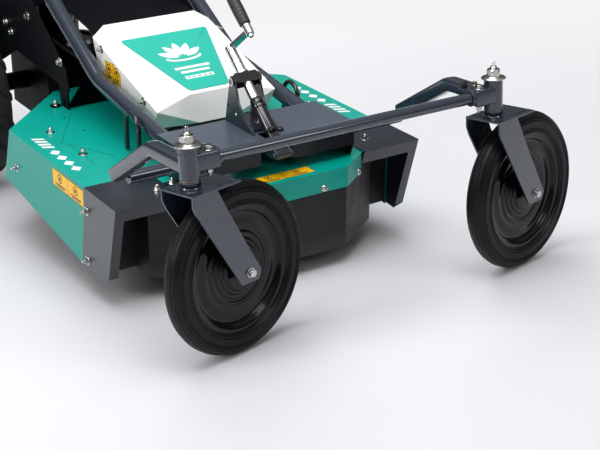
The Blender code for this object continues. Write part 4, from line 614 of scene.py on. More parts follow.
def makeKingpin(label, pivot, body):
    v = kingpinStack
    nut = v["seat"] + v["thick"]
    studTop = nut + v["studRise"]
    skirt = turnedGrid([(0.0125, v["seat"]), (v["washer"] - 0.0015, v["seat"]),
                        (v["washer"], v["seat"] + 0.0012), (v["washer"], v["seat"] + 0.003), (0.0278, nut),
                        (0.0215, nut + 0.0004), (0.0198, nut + 0.0022), (0.0125, nut + 0.0022),
                        (0.0125, v["seat"])], 72)
    hexagon = hexGrid(v["nutAcross"], v["nutHeight"], 0.0085, nut + 0.002)
    stud = threadedRod(v["stud"], nut, studTop, 0.0015)
    shaft = turnedGrid([(0, nut), (0.0125, nut), (0.0125, 0.4132), (0.017, 0.4132), (0.017, 0.4062),
                        (0, 0.4062)], 48)
    turn = np.linspace(0, 2 * pi, 28)
    loop = np.stack([0.0045 * np.sin(turn), 0 * turn, studTop + 0.0052 - 0.0062 * np.cos(turn)], 1)
    wire = tubeGrid(loop, 0.0009, 8, up=(0, 1, 0))
    low = evenPath([(0, -0.0012, studTop), (0, -0.0012, nut + 0.006)], 0.004)
    shape = joined(skirt, hexagon, stud, shaft, wire, tubeGrid(low, 0.0008, 8, up=(0, 1, 0)))
    makePiece("kingpin_%s_stack" % label, inFrame(shape, pivot), "zincPlate", body, ("kingpin_" + label,),
              32)


def makeForkHardware(label, pivot, body):
    # Axle bolt head and lock nut on the legs, over the plain hexagons of the solid
    x, z = machine["trail"], machine["casterRadius"]
    near = joined(washerGrid(0.004, 0.0118, 0.0, 0.0018), hexGrid(0.0178, 0.008, 0.0, 0.0018, dome=0.0012))
    far = joined(washerGrid(0.004, 0.0118, 0.0, 0.0018), hexGrid(0.0178, 0.0098, 0.0, 0.0018),
                 threadedRod(0.0058, 0.009, 0.015, 0.00125))
    left = makeFrame((x, -0.0503, z), (1, 0, 0), (0, 0, 1))
    right = makeFrame((x, 0.0503, z), (1, 0, 0), (0, 0, -1))
    shape = joined(inFrame(near, left), inFrame(far, right))
    makePiece("fork_%s_axle_nuts" % label, inFrame(shape, pivot), "zincPlate", body, (), 32)


def makeHeadRings(label, pivot):
    # Grease seal and pressed ring where the fork's collar meets the head tube
    seal = washerGrid(0.018, 0.0236, 0.4262, 0.0034, 64)
    collar = turnedGrid([(0.0182, 0.4184), (0.0246, 0.4184), (0.025, 0.4194), (0.0236, 0.4212),
                         (0.0228, 0.424), (0.0182, 0.4246), (0.0182, 0.4184)], 64)
    makePiece("fork_%s_collar_ring" % label, inFrame(collar, pivot), "slatePaint", "caster_fork_" + label)
    makePiece("caster_head_%s_seal" % label, inFrame(seal, pivot), "blackPaint", "caster_frame")


for side, label in bothSides:
    pivot = casterPivot(side)
    axle = facing(moved(pivot, (machine["trail"], 0, machine["casterRadius"])), "y")
    makeCasterTyre(label, axle, "caster_wheel_" + label)
    makeCasterRim(label, axle, "caster_wheel_" + label)
    makeKingpin(label, pivot, "caster_fork_" + label)
    makeForkHardware(label, pivot, "caster_fork_" + label)
    makeHeadRings(label, pivot)
print("casters made")


# Fasteners: each kind stands on its own seat, with z along the bolt

fastener = {"washerHeight": 0.0016, "washerBore": 0.002, "pitch": 0.00125, "turn": 0.7}


def capNut(across, washer=0.0):
    # A hexagon with a round dome over it, on a flat washer
    height = across * 0.62
    low = fastener["washerHeight"] if washer else 0.0
    shape = hexGrid(across, height, 0.0, low, dome=across * 0.42)
    return joined(washerGrid(fastener["washerBore"], washer, 0.0, low, 40), shape) if washer else shape


def hexBolt(across, height, washer=0.0, stud=0.0):
    low = fastener["washerHeight"] if washer else 0.0
    parts = [hexGrid(across, height, 0.0, low)]
    if washer:
        parts.append(washerGrid(fastener["washerBore"], washer, 0.0, low, 40))
    if stud:
        parts.append(threadedRod(across * 0.3, height * 0.6, height + low + stud, fastener["pitch"], 24))
    return joined(*parts)


def buttonHead(radius, height, socket):
    # A low dome with a hexagon socket sunk in its top
    end = 1.25
    bow = np.linspace(0, end, 8)
    edge = np.stack([radius * np.cos(bow), height * np.sin(bow) / sin(end)], 1)
    profile = np.concatenate([[(0, 0), (radius, 0)], edge,
                              [(socket, height), (socket * 0.9, height * 0.35), (0, height * 0.35)]])
    return turnedGrid(profile, 36)


def fasten(name, shape, seats, finish="zincPlate", body="chassis"):
    # The same fastener on every seat, each turned a little more than the last
    many = []
    for index, seat in enumerate(seats):
        turn = np.array(Matrix.Rotation(index * fastener["turn"], 3, "Z"))
        turned = {"origin": seat["origin"], "axes": seat["axes"] @ turn}
        many.append(inFrame(shape, turned))
    makePiece(name, joined(*many), finish, body, (), 32)


def flatPlate(outline, thickness, corner=0.0):
    # An outline round its own middle, as rings at the bottom and the top with a small rounded edge
    outline = np.asarray(outline, float)
    edge = roundCorners(outline, corner, 6, closed=True) if corner else outline
    middle = edge.mean(0)
    inner = middle + (edge - middle) * (1 - min(0.3, 0.35 * thickness
                                                / np.linalg.norm(edge - middle, axis=1).mean()))
    rings = [(middle + 0 * edge, 0), (edge, 0), (edge, thickness * 0.7), (inner, thickness),
             (middle + 0 * edge, thickness)]
    grid = np.stack([np.concatenate([ring, np.full((len(edge), 1), z)], 1) for ring, z in rings])
    return grid.reshape(-1, 3), gridFaces(len(grid), len(edge))


def ovalBand(radiusX, radiusY, width, thickness, start=0.0):
    # A flat band along an ellipse from the start angle to a whole turn, with square ends
    t = np.linspace(start, 2 * pi, 48)
    path = np.stack([radiusX * np.cos(t), radiusY * np.sin(t)], 1)
    run = np.gradient(path, axis=0)
    side = unit(np.stack([run[:, 1], -run[:, 0]], 1)) * width / 2
    section = [(path - side, 0), (path + side, 0), (path + side, thickness), (path - side, thickness)]
    grid = np.stack([np.concatenate([p, np.full((len(t), 1), z)], 1) for p, z in section], 1)
    return endedGrid(grid, grid[0].mean(0), grid[-1].mean(0))


# Belt cover: label, motif and screws

coverLabel = {"rearHalf": 0.133, "rearY": 0.922, "frontHalf": 0.06, "frontY": 0.667, "corner": 0.012,
              "thick": 0.0004, "motifThick": 0.0003, "lift": 0.0009}


def makeCoverLabel():
    v = coverLabel
    seat = onTop("belt_cover", 0, (v["rearY"] + v["frontY"]) / 2)
    across = chassis["axes"][:, 0]
    back = np.cross(seat["axes"][:, 2], across)
    seat = {"origin": seat["origin"], "axes": np.stack([across, back, seat["axes"][:, 2]], 1)}
    slope = abs(np.dot(back, chassis["axes"][:, 1]))
    reach = (v["rearY"] - v["frontY"]) / 2 / slope
    outline = [(-v["frontHalf"], -reach), (v["frontHalf"], -reach), (v["rearHalf"], reach),
               (-v["rearHalf"], reach)]
    plate = flatPlate(outline, v["thick"], v["corner"])
    seat = moved(seat, (0, 0, v["lift"]))
    makePiece("cover_label", inFrame(plate, seat), "labelGreen")
    t = v["motifThick"]
    leaf = np.linspace(0, pi, 24)
    blade = np.stack([0.011 * np.sin(leaf) * np.sin(leaf), 0.03 * np.cos(leaf)], 1)
    petals = []
    for turn in (-1.05, -0.52, 0.0, 0.52, 1.05):
        spin = np.array([[cos(turn), -sin(turn)], [sin(turn), cos(turn)]])
        outline = np.concatenate([blade, (blade * (-1, 1))[::-1][1:-1]]) @ spin.T + (0.043 * -sin(turn),
                                                                                     0.043 * cos(turn))
        petals.append(shifted(flatPlate(outline, t), (0, 0.01, 0)))
    arch = shifted(ovalBand(0.05, 0.016, 0.0075, t, pi), (0, 0.016, 0))
    bars = [boxGrid((width, 0.01, t), (0, y, t / 2), 0.0001)
            for width, y in ((0.104, -0.034), (0.086, -0.053))]
    frameBar = boxGrid((0.084, 0.013, t), (0, -0.078, t / 2), 0.0001)
    mark = joined(*petals, arch, *bars, frameBar)
    makePiece("cover_label_motif", inFrame(mark, moved(seat, (0, 0, v["thick"]))), "markWhite")
    slots = [boxGrid((0.0085, 0.0055, t), (x, -0.078, t * 1.5), 0.0001)
             for x in np.linspace(-0.032, 0.032, 5)]
    makePiece("cover_label_slots", inFrame(joined(*slots), moved(seat, (0, 0, v["thick"]))), "labelGreen")


def noticePlate(name, seat, width, height):
    # A yellow plate with a border and, in each half, a ring round a dot over two short lines
    plate = boxGrid((width, height, 0.0004), (0, 0, 0.0003), 0.0002)
    makePiece(name, inFrame(plate, seat), "labelYellow")
    t, low = 0.0002, 0.0006
    bars = [boxGrid((width, 0.0012, t), (0, s * (height / 2 - 0.0007), low), 0.0001) for s in (-1, 1)]
    bars += [boxGrid((0.0012, height, t), (s * (width / 2 - 0.0007), 0, low), 0.0001) for s in (-1, 0, 1)]
    size = height * 0.24
    ring = ovalBand(size, size, size * 0.22, t)
    spots = [shifted(ring, (side * width / 4, height * 0.12, low)) for side in (-1, 1)]
    lines = [boxGrid((width * span, height * 0.06, t), (side * width / 4, -height * drop, low), 0.0001)
             for side in (-1, 1) for span, drop in ((0.34, 0.26), (0.26, 0.36))]
    dots = [shifted(discGrid(size * 0.45, 0, t, 24), (side * width / 4, height * 0.12, low))
            for side in (-1, 1)]
    makePiece(name + "_motif", inFrame(joined(*bars, *spots, *lines, *dots), seat), "markBlack")


def squared(seat, alongDrawing):
    # The same seat with its x axis as near as it can lie to a direction of the drawing
    z = seat["axes"][:, 2]
    x = np.asarray(alongDrawing, float) @ chassis["axes"].T
    x = unit(x - z * np.dot(x, z))
    return {"origin": seat["origin"], "axes": np.stack([x, np.cross(z, x), z], 1)}


coverBolts = {"left": [(0.938, 0.585), (0.702, 0.506)], "across": 0.012, "height": 0.0068, "washer": 0.0112,
              "stud": 0.006}


def makeCoverBolts():
    v = coverBolts
    seats = [onSide("belt_cover", side, y, z) for side in (-1, 1) for y, z in v["left"]]
    bolt = hexBolt(v["across"], v["height"], v["washer"], v["stud"])
    fasten("cover_side_bolts", bolt, seats)


makeCoverLabel()
makeCoverBolts()
noticePlate("cover_side_notice", squared(landed("belt_cover", (-0.5, 0.878, 0.534), (1, 0, 0)), (0, -1, 0)),
            0.086, 0.052)
noticePlate("deck_side_notice", squared(landed("deck_shell", (-0.7, 0.617, 0.354), (1, 0, 0)), (0, -1, 0)),
            0.186, 0.047)
noticePlate("deck_front_notice", squared(landed("deck_shell", (0.008, 0.321, 0.7), (0, 0, -1)), (1, 0, 0)),
            0.166, 0.04)
print("cover dressed")


# Deck: nuts, marks, seams and hook sleeves

deckTop = 0.3895
deckNuts = {"cap": [(0.354, 0.914), (0.348, 0.721)], "rear": (0.2565, 1.1), "rearBase": 0.0155,
            "screw": [(0.271, 0.88), (0.277, 1.0)], "front": (0.2505, 0.42),
            "frontBase": (0.034, 0.026, 0.0035), "lip": (0.1085, 0.3443),
            "chamfer": (0.2487, 0.3347, 0.3416), "hookX": 0.24, "hookY": (0.612, 0.682), "hookTop": 0.499,
            "hookRadius": 0.0064}


def makeDeckHardware():
    v = deckNuts
    capSeats = [onTop("deck_shell", side * x, y) for side in (-1, 1) for x, y in v["cap"]]
    fasten("deck_cap_nuts", capNut(0.013, 0.012), capSeats)
    screwSeats = [onTop("deck_shell", side * x, y) for side in (-1, 1) for x, y in v["screw"]]
    fasten("deck_screws", hexBolt(0.01, 0.004), screwSeats, "deckGreen")
    sides = [onSide("deck_shell", side, 0.959, 0.29) for side in (-1, 1)]
    fasten("deck_side_nuts", hexBolt(0.013, 0.0075, 0.0125, 0.008), sides)
    rear = [onTop("deck_shell", side * v["rear"][0], v["rear"][1]) for side in (-1, 1)]
    pad = washerGrid(0.002, v["rearBase"], 0.0, 0.0045)
    fasten("deck_rear_pads", pad, rear, "caseBlack")
    fasten("deck_rear_nuts", shifted(capNut(0.013, 0.01), (0, 0, 0.0045)), rear)
    beside = [onTop("deck_shell", side * v["front"][0], v["front"][1]) for side in (-1, 1)]
    base = v["frontBase"]
    pads = [inFrame(boxGrid(base, (0, 0, base[2] / 2), 0.0012), squared(seat, (1, 0, 0)))
            for seat in beside]
    makePiece("deck_front_pads", joined(*pads), "caseBlack")
    nut = shifted(hexBolt(0.013, 0.0075, 0.0125, 0.006), (0, 0, base[2]))
    fasten("deck_front_nuts", nut, beside)
    x, y, z = v["chamfer"]
    buttons = [landed("deck_shell", (side * v["lip"][0], 0, v["lip"][1]), (0, 1, 0)) for side in (-1, 1)]
    buttons += [landed("deck_shell", (side * (x + 0.116), y - 0.164, z), (-side * 0.58, 0.82, 0))
                for side in (-1, 1)]
    fasten("deck_button_screws", buttonHead(0.01, 0.0056, 0.0036), buttons)


def makeHookSleeves():
    v = deckNuts
    half = (v["hookY"][1] - v["hookY"][0]) / 2
    middle = (v["hookY"][1] + v["hookY"][0]) / 2
    t = np.linspace(0, pi, 24)
    legs = np.linspace(deckTop, v["hookTop"] - half, 14)[1:]
    up = np.stack([0 * legs, middle + half + 0 * legs, legs], 1)
    bow = np.stack([0 * t, middle + half * np.cos(t), v["hookTop"] - half + half * np.sin(t)], 1)
    down = (up * (1, -1, 1) + (0, 2 * middle, 0))[::-1]
    path = np.concatenate([up, bow[1:-1], down])
    for side, label in bothSides:
        shape = tubeGrid(path + (side * v["hookX"], 0, 0), v["hookRadius"], 20, up=(1, 0, 0))
        makePiece("hook_%s_sleeve" % label, inFrame(shape, chassis), "glossBlack")


def makeDeckMarks():
    # Rows of slanted bars and small diamonds along the outer edges of the deck top
    for side, label in bothSides:
        seat = squared(onTop("deck_shell", side * 0.404, 0.755), (0, side, 0))
        seat = moved(seat, (0, 0, 0.0001))
        t = 0.0003
        slant, half = 0.014, 0.0145
        bars = [flatPlate([(x, -half), (x + 0.0125, -half), (x + 0.0125 + slant, half), (x + slant, half)],
                          t) for x in np.arange(4) * 0.0225 - 0.14]
        gems = [flatPlate([(x - 0.018, 0), (x, -half), (x + 0.018, 0), (x, half)], t) for x in np.arange(4)
                * 0.043 - 0.014]
        makePiece("deck_mark_" + label, inFrame(joined(*bars, *gems), seat), "markWhite")


deckSeams = [[(0.239, 1.032), (0.363, 0.825), (0.35, 0.803), (0.285, 0.665)],
             [(0.35, 0.803), (0.352, 0.64)]]


def makeDeckSeams():
    # Edges of the plate that is let into the deck top, as fine dark lines
    lines = []
    for side in (-1, 1):
        for seam in deckSeams:
            path = evenPath([(side * x, y, deckTop - 0.00045) for x, y in seam], 0.004)
            lines.append(tubeGrid(path, 0.00055, 8, up=(0.01, 0.02, 1)))
    makePiece("deck_seams", inFrame(joined(*lines), chassis), "deckShadeAndSeamDark")


shieldWing = {"y": 1.066, "thick": 0.003, "foot": (0.2375, deckTop), "top": (0.119, 0.55), "inner": 0.11}


def makeShieldWings():
    # Upright black sheet on the deck top, its outer edge sloping in towards the belt
    v = shieldWing
    for side, label in bothSides:
        outline = [(side * v["foot"][0], v["foot"][1]), (side * v["inner"], v["foot"][1]),
                   (side * v["inner"], v["top"][1]), (side * v["top"][0], v["top"][1])]
        stand = makeFrame((0, v["y"], 0), (1, 0, 0), (0, 0, 1))
        shape = inFrame(flatPlate(outline, v["thick"], 0.004), stand)
        makePiece("shield_wing_" + label, inFrame(shape, chassis), "caseBlack")


makeDeckHardware()
makeHookSleeves()
makeDeckMarks()
makeDeckSeams()
makeShieldWings()
print("deck dressed")


# Bent tubes and sweeps

def filletedPath(corners, radius, steps=14):
    # At each inner corner an arc of the radius, walked by the sines of its angle from both tangent points
    corners = np.asarray(corners, float)
    route = [corners[:1]]
    for before, corner, after in zip(corners, corners[1:], corners[2:]):
        a, b = unit(before - corner), unit(after - corner)
        half = np.arccos(np.clip(a @ b, -1, 1)) / 2
        reach = radius / np.tan(half)
        centre = corner + unit(a + b) * radius / sin(half)
        start, end = corner + a * reach - centre, corner + b * reach - centre
        t = np.linspace(0, 1, steps)[:, None]
        span = np.arccos(np.clip(start @ end / radius ** 2, -1, 1))
        route.append(centre + (np.sin((1 - t) * span) * start + np.sin(t * span) * end) / sin(span))
    route.append(corners[-1:])
    return np.concatenate(route)


def roundedSection(width, depth, corner, steps=6):
    w, d = width / 2, depth / 2
    return roundCorners([(-w, -d), (w, -d), (w, d), (-w, d)], corner, steps, closed=True)


weld = {"step": 0.0009, "pitch": 0.0034, "ripple": 0.16, "up": (0.11, 0.23, 0.97)}


def weldBead(path, radius):
    # A bead whose thickness ripples with a sine of the distance along it
    path = evenPath(path, weld["step"])
    wave = np.sin(np.arange(len(path)) * weld["step"] / weld["pitch"] * 2 * pi)
    return tubeGrid(path, radius * (1 + weld["ripple"] * wave), 10, up=weld["up"])


def ringPath(radius, height):
    return around(radius, np.linspace(0, 2 * pi, 64), height)


# Front frame

hinge = makeFrame((machine["centreX"], machine["headY"] + 0.352, 0.347), (1, 0, 0), (0, 1, 0))
frontArm = {"width": 0.038, "depth": 0.036, "corner": 0.013, "bend": 0.055, "back": 0.352, "level": 0.117,
            "knee": 0.165, "tail": (0.016, 0.0095), "headRadius": 0.0225, "headLow": 0.083,
            "headHigh": 0.163, "block": (0.066, 0.04, 0.04), "blockLevel": 0.127, "socket": 0.0143}


def makeFrontArm(side, label):
    v = frontArm
    x = side * machine["headSpacing"] / 2
    back, level = -v["back"], v["blockLevel"]
    route = filletedPath([(x, back, v["level"]), (x, v["knee"] + back, v["level"] + 0.003),
                          (x, *v["tail"])], v["bend"], 18)
    arm = sweptGrid(route, roundedSection(v["width"], v["depth"], v["corner"]))
    low, high, r = v["headLow"], v["headHigh"], v["headRadius"]
    head = turnedGrid([(0.0132, low), (r - 0.0012, low), (r, low + 0.0012), (r, low + 0.0062),
                       (r - 0.0005, low + 0.0068), (r - 0.0005, low + 0.0078), (r, low + 0.0084),
                       (r, high - 0.0012), (r - 0.0012, high), (0.0132, high), (0.0132, low)], 72)
    block = boxGrid(v["block"], (x - side * v["block"][0] / 2, back, level), 0.004, 5)
    tab = boxGrid((0.044, 0.036, 0.005), (x - side * 0.052, back + 0.026, level + 0.0175), 0.0016)
    collar = washerGrid(v["socket"], 0.019, 0.0, 0.008, 56)
    mouth = makeFrame((x - side * (v["block"][0] + 0.0002), back, level), (0, 1, 0), (0, 0, -side))
    seam = [(x - side * 0.02, back + s * 0.0205, level + 0.0195) for s in (-1, 1)]
    beads = [weldBead(seam, 0.0016),
             shifted(weldBead(ringPath(r + 0.0004, level + 0.021)[:40], 0.0015), (x, back, 0))]
    shape = joined(arm, shifted(head, (x, back, 0)), block, tab, inFrame(collar, mouth), *beads)
    makePiece("caster_arm_%s_smooth" % label, inFrame(shape, hinge), "slatePaint", "caster_frame",
              ("caster_arm_" + label,), 36)
    inward = x - side * 0.046
    top = aimed(placed((inward, back - 0.002, level + 0.02), hinge), (0, 0, 1), 0.3)
    under = aimed(placed((inward, back - 0.002, level - 0.02), hinge), (0, 0, -1), 0.2)
    rear = aimed(placed((x - side * 0.03, back + 0.033, level + 0.02), hinge), (0, 0, 1), 0.9)
    fasten("head_%s_bolts" % label, hexBolt(0.015, 0.0085, 0.0125), [top], body="caster_frame")
    fasten("head_%s_nuts" % label, hexBolt(0.015, 0.0095, 0.0125, 0.006), [under], body="caster_frame")
    fasten("head_%s_rear_screw" % label, hexBolt(0.011, 0.0065, 0.0095), [rear], "yellowZinc",
           "caster_frame")
    if side > 0:
        knob = turnedGrid([(0, 0), (0.0078, 0), (0.0086, 0.0012), (0.0086, 0.013), (0.0074, 0.0168),
                           (0.004, 0.0186), (0, 0.019)], 40)
        seat = (x - side * 0.064, back + 0.033, level + 0.02)
        makePiece("head_%s_plug" % label, inFrame(shifted(knob, seat), hinge), "blackPlastic",
                  "caster_frame", ())
    band = tubeGrid(ringPath(r + 0.00005, low + 0.0073), 0.00055, 8)
    makePiece("head_%s_seam_ring" % label, inFrame(shifted(band, (x, back, 0)), hinge), "yellowZinc",
              "caster_frame", ())


for side, label in bothSides:
    makeFrontArm(side, label)


def makeBeamHardware():
    ends = [onSide("front_beam", side, 0.45, 0.425) for side in (-1, 1)]
    fasten("beam_end_bolts", hexBolt(0.015, 0.0085, 0.012), ends)
    tops = [onTop("fairing_" + label, x, y)
            for label, x, y in (("left", -0.3, 0.402), ("right", 0.322, 0.413))]
    fasten("fairing_top_nuts", capNut(0.013, 0.0125), tops)
    faces = [onSide("fairing_" + label, side, y, z) for side, label in bothSides
             for y, z in ((0.503, 0.332), (0.515, 0.193))]
    fasten("fairing_side_nuts", hexBolt(0.013, 0.0075, 0.0125, 0.008), faces)


makeBeamHardware()
print("front frame made")


# Crank jack

jackParts = {"tube": 0.0135, "top": 0.102, "block": 0.01475, "sleeve": 0.015, "sleeveEnd": -0.078,
             "screw": 0.009, "collarTop": -0.061, "reach": 0.074, "angle": radians(66), "level": 0.095,
             "grip": 0.095, "pin": 0.005, "drop": 0.225356, "tab": 0.066, "footStart": 0.082,
             "footTube": 0.0155, "collar": 0.0195, "eye": 0.012, "eyeWidth": 0.034}


def makeCrank():
    v = jackParts
    r, block = v["tube"], v["block"]
    end = v["tab"] + 0.026 - v["drop"]
    profile = [(0, v["top"]), (0.0085, v["top"]), (0.009, v["top"] - 0.002), (r - 0.001, v["top"] - 0.002),
               (r, v["top"] - 0.003), (r, 0.06), (r - 0.0004, 0.0595), (r - 0.0004, 0.0585),
               (r, 0.058), (r, block + 0.006), (r + 0.0024, block + 0.006), (r + 0.003, block + 0.0054),
               (r + 0.003, block + 0.0006), (r + 0.0024, block), (r, block), (r, v["collarTop"] - 0.002),
               (v["screw"], v["collarTop"] - 0.002), (v["screw"], v["sleeveEnd"])]
    z = np.arange(v["sleeveEnd"], end, -0.0005)
    thread = np.stack([v["screw"] - 0.0006 * (0.5 - 0.5 * np.cos(z / 0.003 * 2 * pi)), z], 1)
    body = turnedGrid(np.concatenate([profile, thread, [(0, end)]]), 56)
    along = np.array((cos(v["angle"]), -sin(v["angle"])))
    side = np.array((-along[1], along[0]))
    outline = [q[0] * along + q[1] * side
               for q in ((-0.01, -0.0075), (-0.01, 0.0075), (0.0, 0.0105), (v["reach"], 0.0092),
                         (v["reach"] + 0.0088, 0.0035), (v["reach"] + 0.0088, -0.0035),
                         (v["reach"], -0.0092), (0.0, -0.0105))]
    arm = shifted(flatPlate(outline, 0.009, 0.004), (0, 0, v["level"] - 0.0045))
    spot = (*(along * v["reach"]), 0)
    low = v["level"] - 0.01
    boss = shifted(turnedGrid([(0, low), (0.0102, low), (0.0115, low + 0.0012), (0.0115, low + 0.0268),
                               (0.0102, low + 0.028), (0, low + 0.028)], 48), spot)
    pin = shifted(turnedGrid([(0, low), (v["pin"], low), (v["pin"], v["level"] + v["grip"] + 0.021),
                              (v["pin"] - 0.001, v["level"] + v["grip"] + 0.022),
                              (0, v["level"] + v["grip"] + 0.022)], 32), spot)
    nut = shifted(hexGrid(0.0118, 0.0075, 0.0, low - 0.0078, dome=0.0022), spot)
    makePiece("crank_chromed", inFrame(joined(body, arm, boss, pin, nut), jack), "chromePlate",
              "jack_screw", ("crank",), 34)
    # A black plug in the tube's hole: painted shade inside the hole
    hole = tubeGrid([(0, -r - 0.0002, 0.044), (0, -r + 0.003, 0.044)], 0.0022, 20, up=(0, 0, 1))
    makePiece("crank_tube_hole_shade", inFrame(hole, jack), "markBlack", "jack_screw")
    high, low, wide = v["collarTop"], v["sleeveEnd"] + 0.0005, v["sleeve"]
    sleeve = turnedGrid([(r - 0.004, high), (r + 0.0008, high), (r + 0.0014, high - 0.0008),
                         (wide + 0.002, low + 0.01), (wide + 0.0026, low + 0.006),
                         (wide + 0.0026, low + 0.001), (wide + 0.0018, low), (r - 0.004, low),
                         (r - 0.004, high)], 56)
    makePiece("crank_sleeve", inFrame(sleeve, jack), "glossBlack", "jack_screw", ())


def makeCrankGrip():
    # The grip's radius dips by a cosine at each finger ring
    v = jackParts
    start, end = 0.0183, 0.0183 + v["grip"]
    z = np.linspace(start + 0.004, end - 0.006, 140)
    swell = 0.0148 + 0.0012 * np.sin((z - start) / v["grip"] * pi)
    grooves = 0.0006 * (np.clip(np.cos((z - start) / 0.0118 * 2 * pi), 0.55, 1) - 0.55) / 0.45
    middle = np.stack([swell - grooves, z], 1)
    profile = np.concatenate([[(0.0054, start), (0.0112, start), (0.0132, start + 0.0016)], middle,
                              [(0.0128, end - 0.0015), (0.0105, end), (0.0054, end - 0.003),
                               (0.0054, start)]])
    spot = (v["reach"] * cos(v["angle"]), -v["reach"] * sin(v["angle"]), v["level"])
    makePiece("crank_grip_ringed", inFrame(turnedGrid(profile, 56), moved(jack, spot)), "blackPlastic",
              "jack_handle", ("crank_grip",), 40)


def makeJackFoot():
    v = jackParts
    bottom = -v["drop"]
    tab = bottom + v["tab"]
    r, c, start = v["footTube"], v["collar"], -v["footStart"]
    tube = turnedGrid([(0, tab + 0.012), (0.0094, tab + 0.012), (0.0094, start), (c - 0.001, start),
                       (c, start - 0.001), (c, start - 0.007), (c - 0.001, start - 0.008),
                       (r + 0.0006, start - 0.0088), (r, start - 0.0096), (r, tab + 0.006),
                       (r - 0.0006, tab + 0.0035), (0.012, tab), (0, tab)], 56)
    flat = boxGrid((0.026, 0.011, v["tab"] + 0.004), (0, 0, bottom + v["tab"] / 2 + 0.002), 0.0022)
    across = makeFrame((0, 0, bottom), (0, 1, 0), (0, 0, 1))
    w = v["eyeWidth"] / 2
    eye = inFrame(washerGrid(0.007, v["eye"], -w, 2 * w, 48, 0.001), across)
    bead = weldBead(ringPath(r - 0.0006, tab + 0.0012), 0.0013)
    makePiece("jack_foot_smooth", inFrame(joined(tube, flat, eye, bead), jack), "glossBlack", "jack_slide",
              ("jack_foot",), 36)


def makeYokeHardware():
    seats = [aimed(placed((side * 0.0415, 0, 0), jack), (side, 0, 0), 0.4) for side in (-1, 1)]
    clips = washerGrid(0.0072, 0.0118, 0.0, 0.0014, 40)
    fasten("yoke_pin_rings", clips, seats, body="jack_body")
    floor = [onTop("jack_yoke", x, 0.452) for x in (-0.02, 0.02)]
    fasten("yoke_floor_bolts", hexBolt(0.012, 0.005, 0.0115), floor)
    sides = [onSide("jack_yoke", side, 0.468, 0.513) for side in (-1, 1)]
    fasten("yoke_side_bolts", buttonHead(0.0052, 0.003, 0.0022), sides)
    plug = [onTop("front_beam", 0.0383, 0.385)]
    # A black sheet behind the beam's slot: painted shade where the deck top would show through
    shadeSheet = boxGrid((0.2, 0.0025, 0.086), (0.06, 0.485, 0.4345), 0.0006)
    makePiece("beam_slot_shade_sheet", inFrame(shadeSheet, chassis), "caseBlack")
    dome = turnedGrid([(0, 0), (0.0105, 0), (0.0105, 0.003), (0.0094, 0.0062), (0.006, 0.0086),
                       (0, 0.0095)], 40)
    fasten("beam_plug", dome, plug, "glossBlack")


makeCrank()
makeCrankGrip()
makeJackFoot()
makeYokeHardware()
print("jack made")


# Handle tubes, grips and controls

handle = {"radius": 0.02135, "x": 0.2075, "gripX": 0.3, "bend": 0.09, "steerY": 0.262,
          "steerZ": -0.038, "run": 0.4653, "grip": 0.13, "gripRadius": 0.02595,
          "corners": ((0.387, 0.436), (0.901, 0.511), (1.48, 0.831945)), "start": (1.78, 0.93),
          "end": (2.24, 1.0)}
gripRise = atan2(handle["end"][1] - handle["start"][1], handle["end"][0] - handle["start"][0]) + lean
gripFrames = {label: makeFrame(placed((side * handle["gripX"], *handle["start"]), chassis), (1, 0, 0),
                               (0, cos(gripRise), sin(gripRise))) for side, label in bothSides}


# Height of the grips' line 0.17 behind its start, in the drawing of the chassis
panelLine = 0.93 + 0.17 * 70 / 460


def makeHandleTube(side, label):
    v = handle
    corners = [(side * v["x"], y, z) for y, z in v["corners"]]
    corners += [(side * v["gripX"], *v["start"]), (side * v["gripX"], *v["end"])]
    route = filletedPath(corners, v["bend"], 20)
    tube = inFrame(tubeGrid(route, v["radius"], 48), chassis)
    ears = []
    for x in (-0.006, 0.006):
        outline = [(-0.01, 0.003 - v["radius"]), (-0.01, v["steerZ"]), (-0.005, v["steerZ"] - 0.009),
                   (0.005, v["steerZ"] - 0.009), (0.01, v["steerZ"]), (0.01, 0.003 - v["radius"])]
        ear = flatPlate(outline, 0.003, 0.003)
        stand = makeFrame((x - 0.0015, v["steerY"], 0), (0, 1, 0), (0, 0, 1))
        ears.append(inFrame(inFrame(ear, stand), gripFrames[label]))
    across = makeFrame((0, v["steerY"], v["steerZ"]), (0, 1, 0), (0, 0, 1))
    pin = inFrame(inFrame(discGrid(0.003, -0.008, 0.008, 20), across), gripFrames[label])
    makePiece("frame_tube_%s_round" % label, joined(tube, *ears, pin), "slatePaint", "chassis",
              ("frame_tube_" + label,), 36)


def makeHandGrip(label):
    # Rings round the grip: the radius rises by the positive half of a cosine
    v = handle
    end, start = v["run"] + 0.0003, v["run"] - v["grip"]
    r = v["gripRadius"]
    z = np.linspace(start + 0.009, end - 0.004, 300)
    ribs = 0.0009 * np.clip(np.cos((z - start) / 0.0062 * 2 * pi), -0.1, 0.8)
    body = np.stack([r - 0.0008 + ribs, z], 1)
    profile = np.concatenate([[(0.0216, start), (r + 0.0026, start),
                               (r + 0.003, start + 0.0006), (r + 0.003, start + 0.0052),
                               (r + 0.002, start + 0.0062), (r - 0.0006, start + 0.0084)], body,
                              [(r, end + 0.0005), (r - 0.003, end + 0.004), (0.006, end + 0.004),
                               (0.005, end + 0.0034), (0, end + 0.0034)]])
    makePiece("hand_grip_%s_ribbed" % label,
              inFrame(turnedGrid(profile, 64), facing(gripFrames[label], "y")), "gripRubber", "chassis",
              ("hand_grip_" + label,), 44)


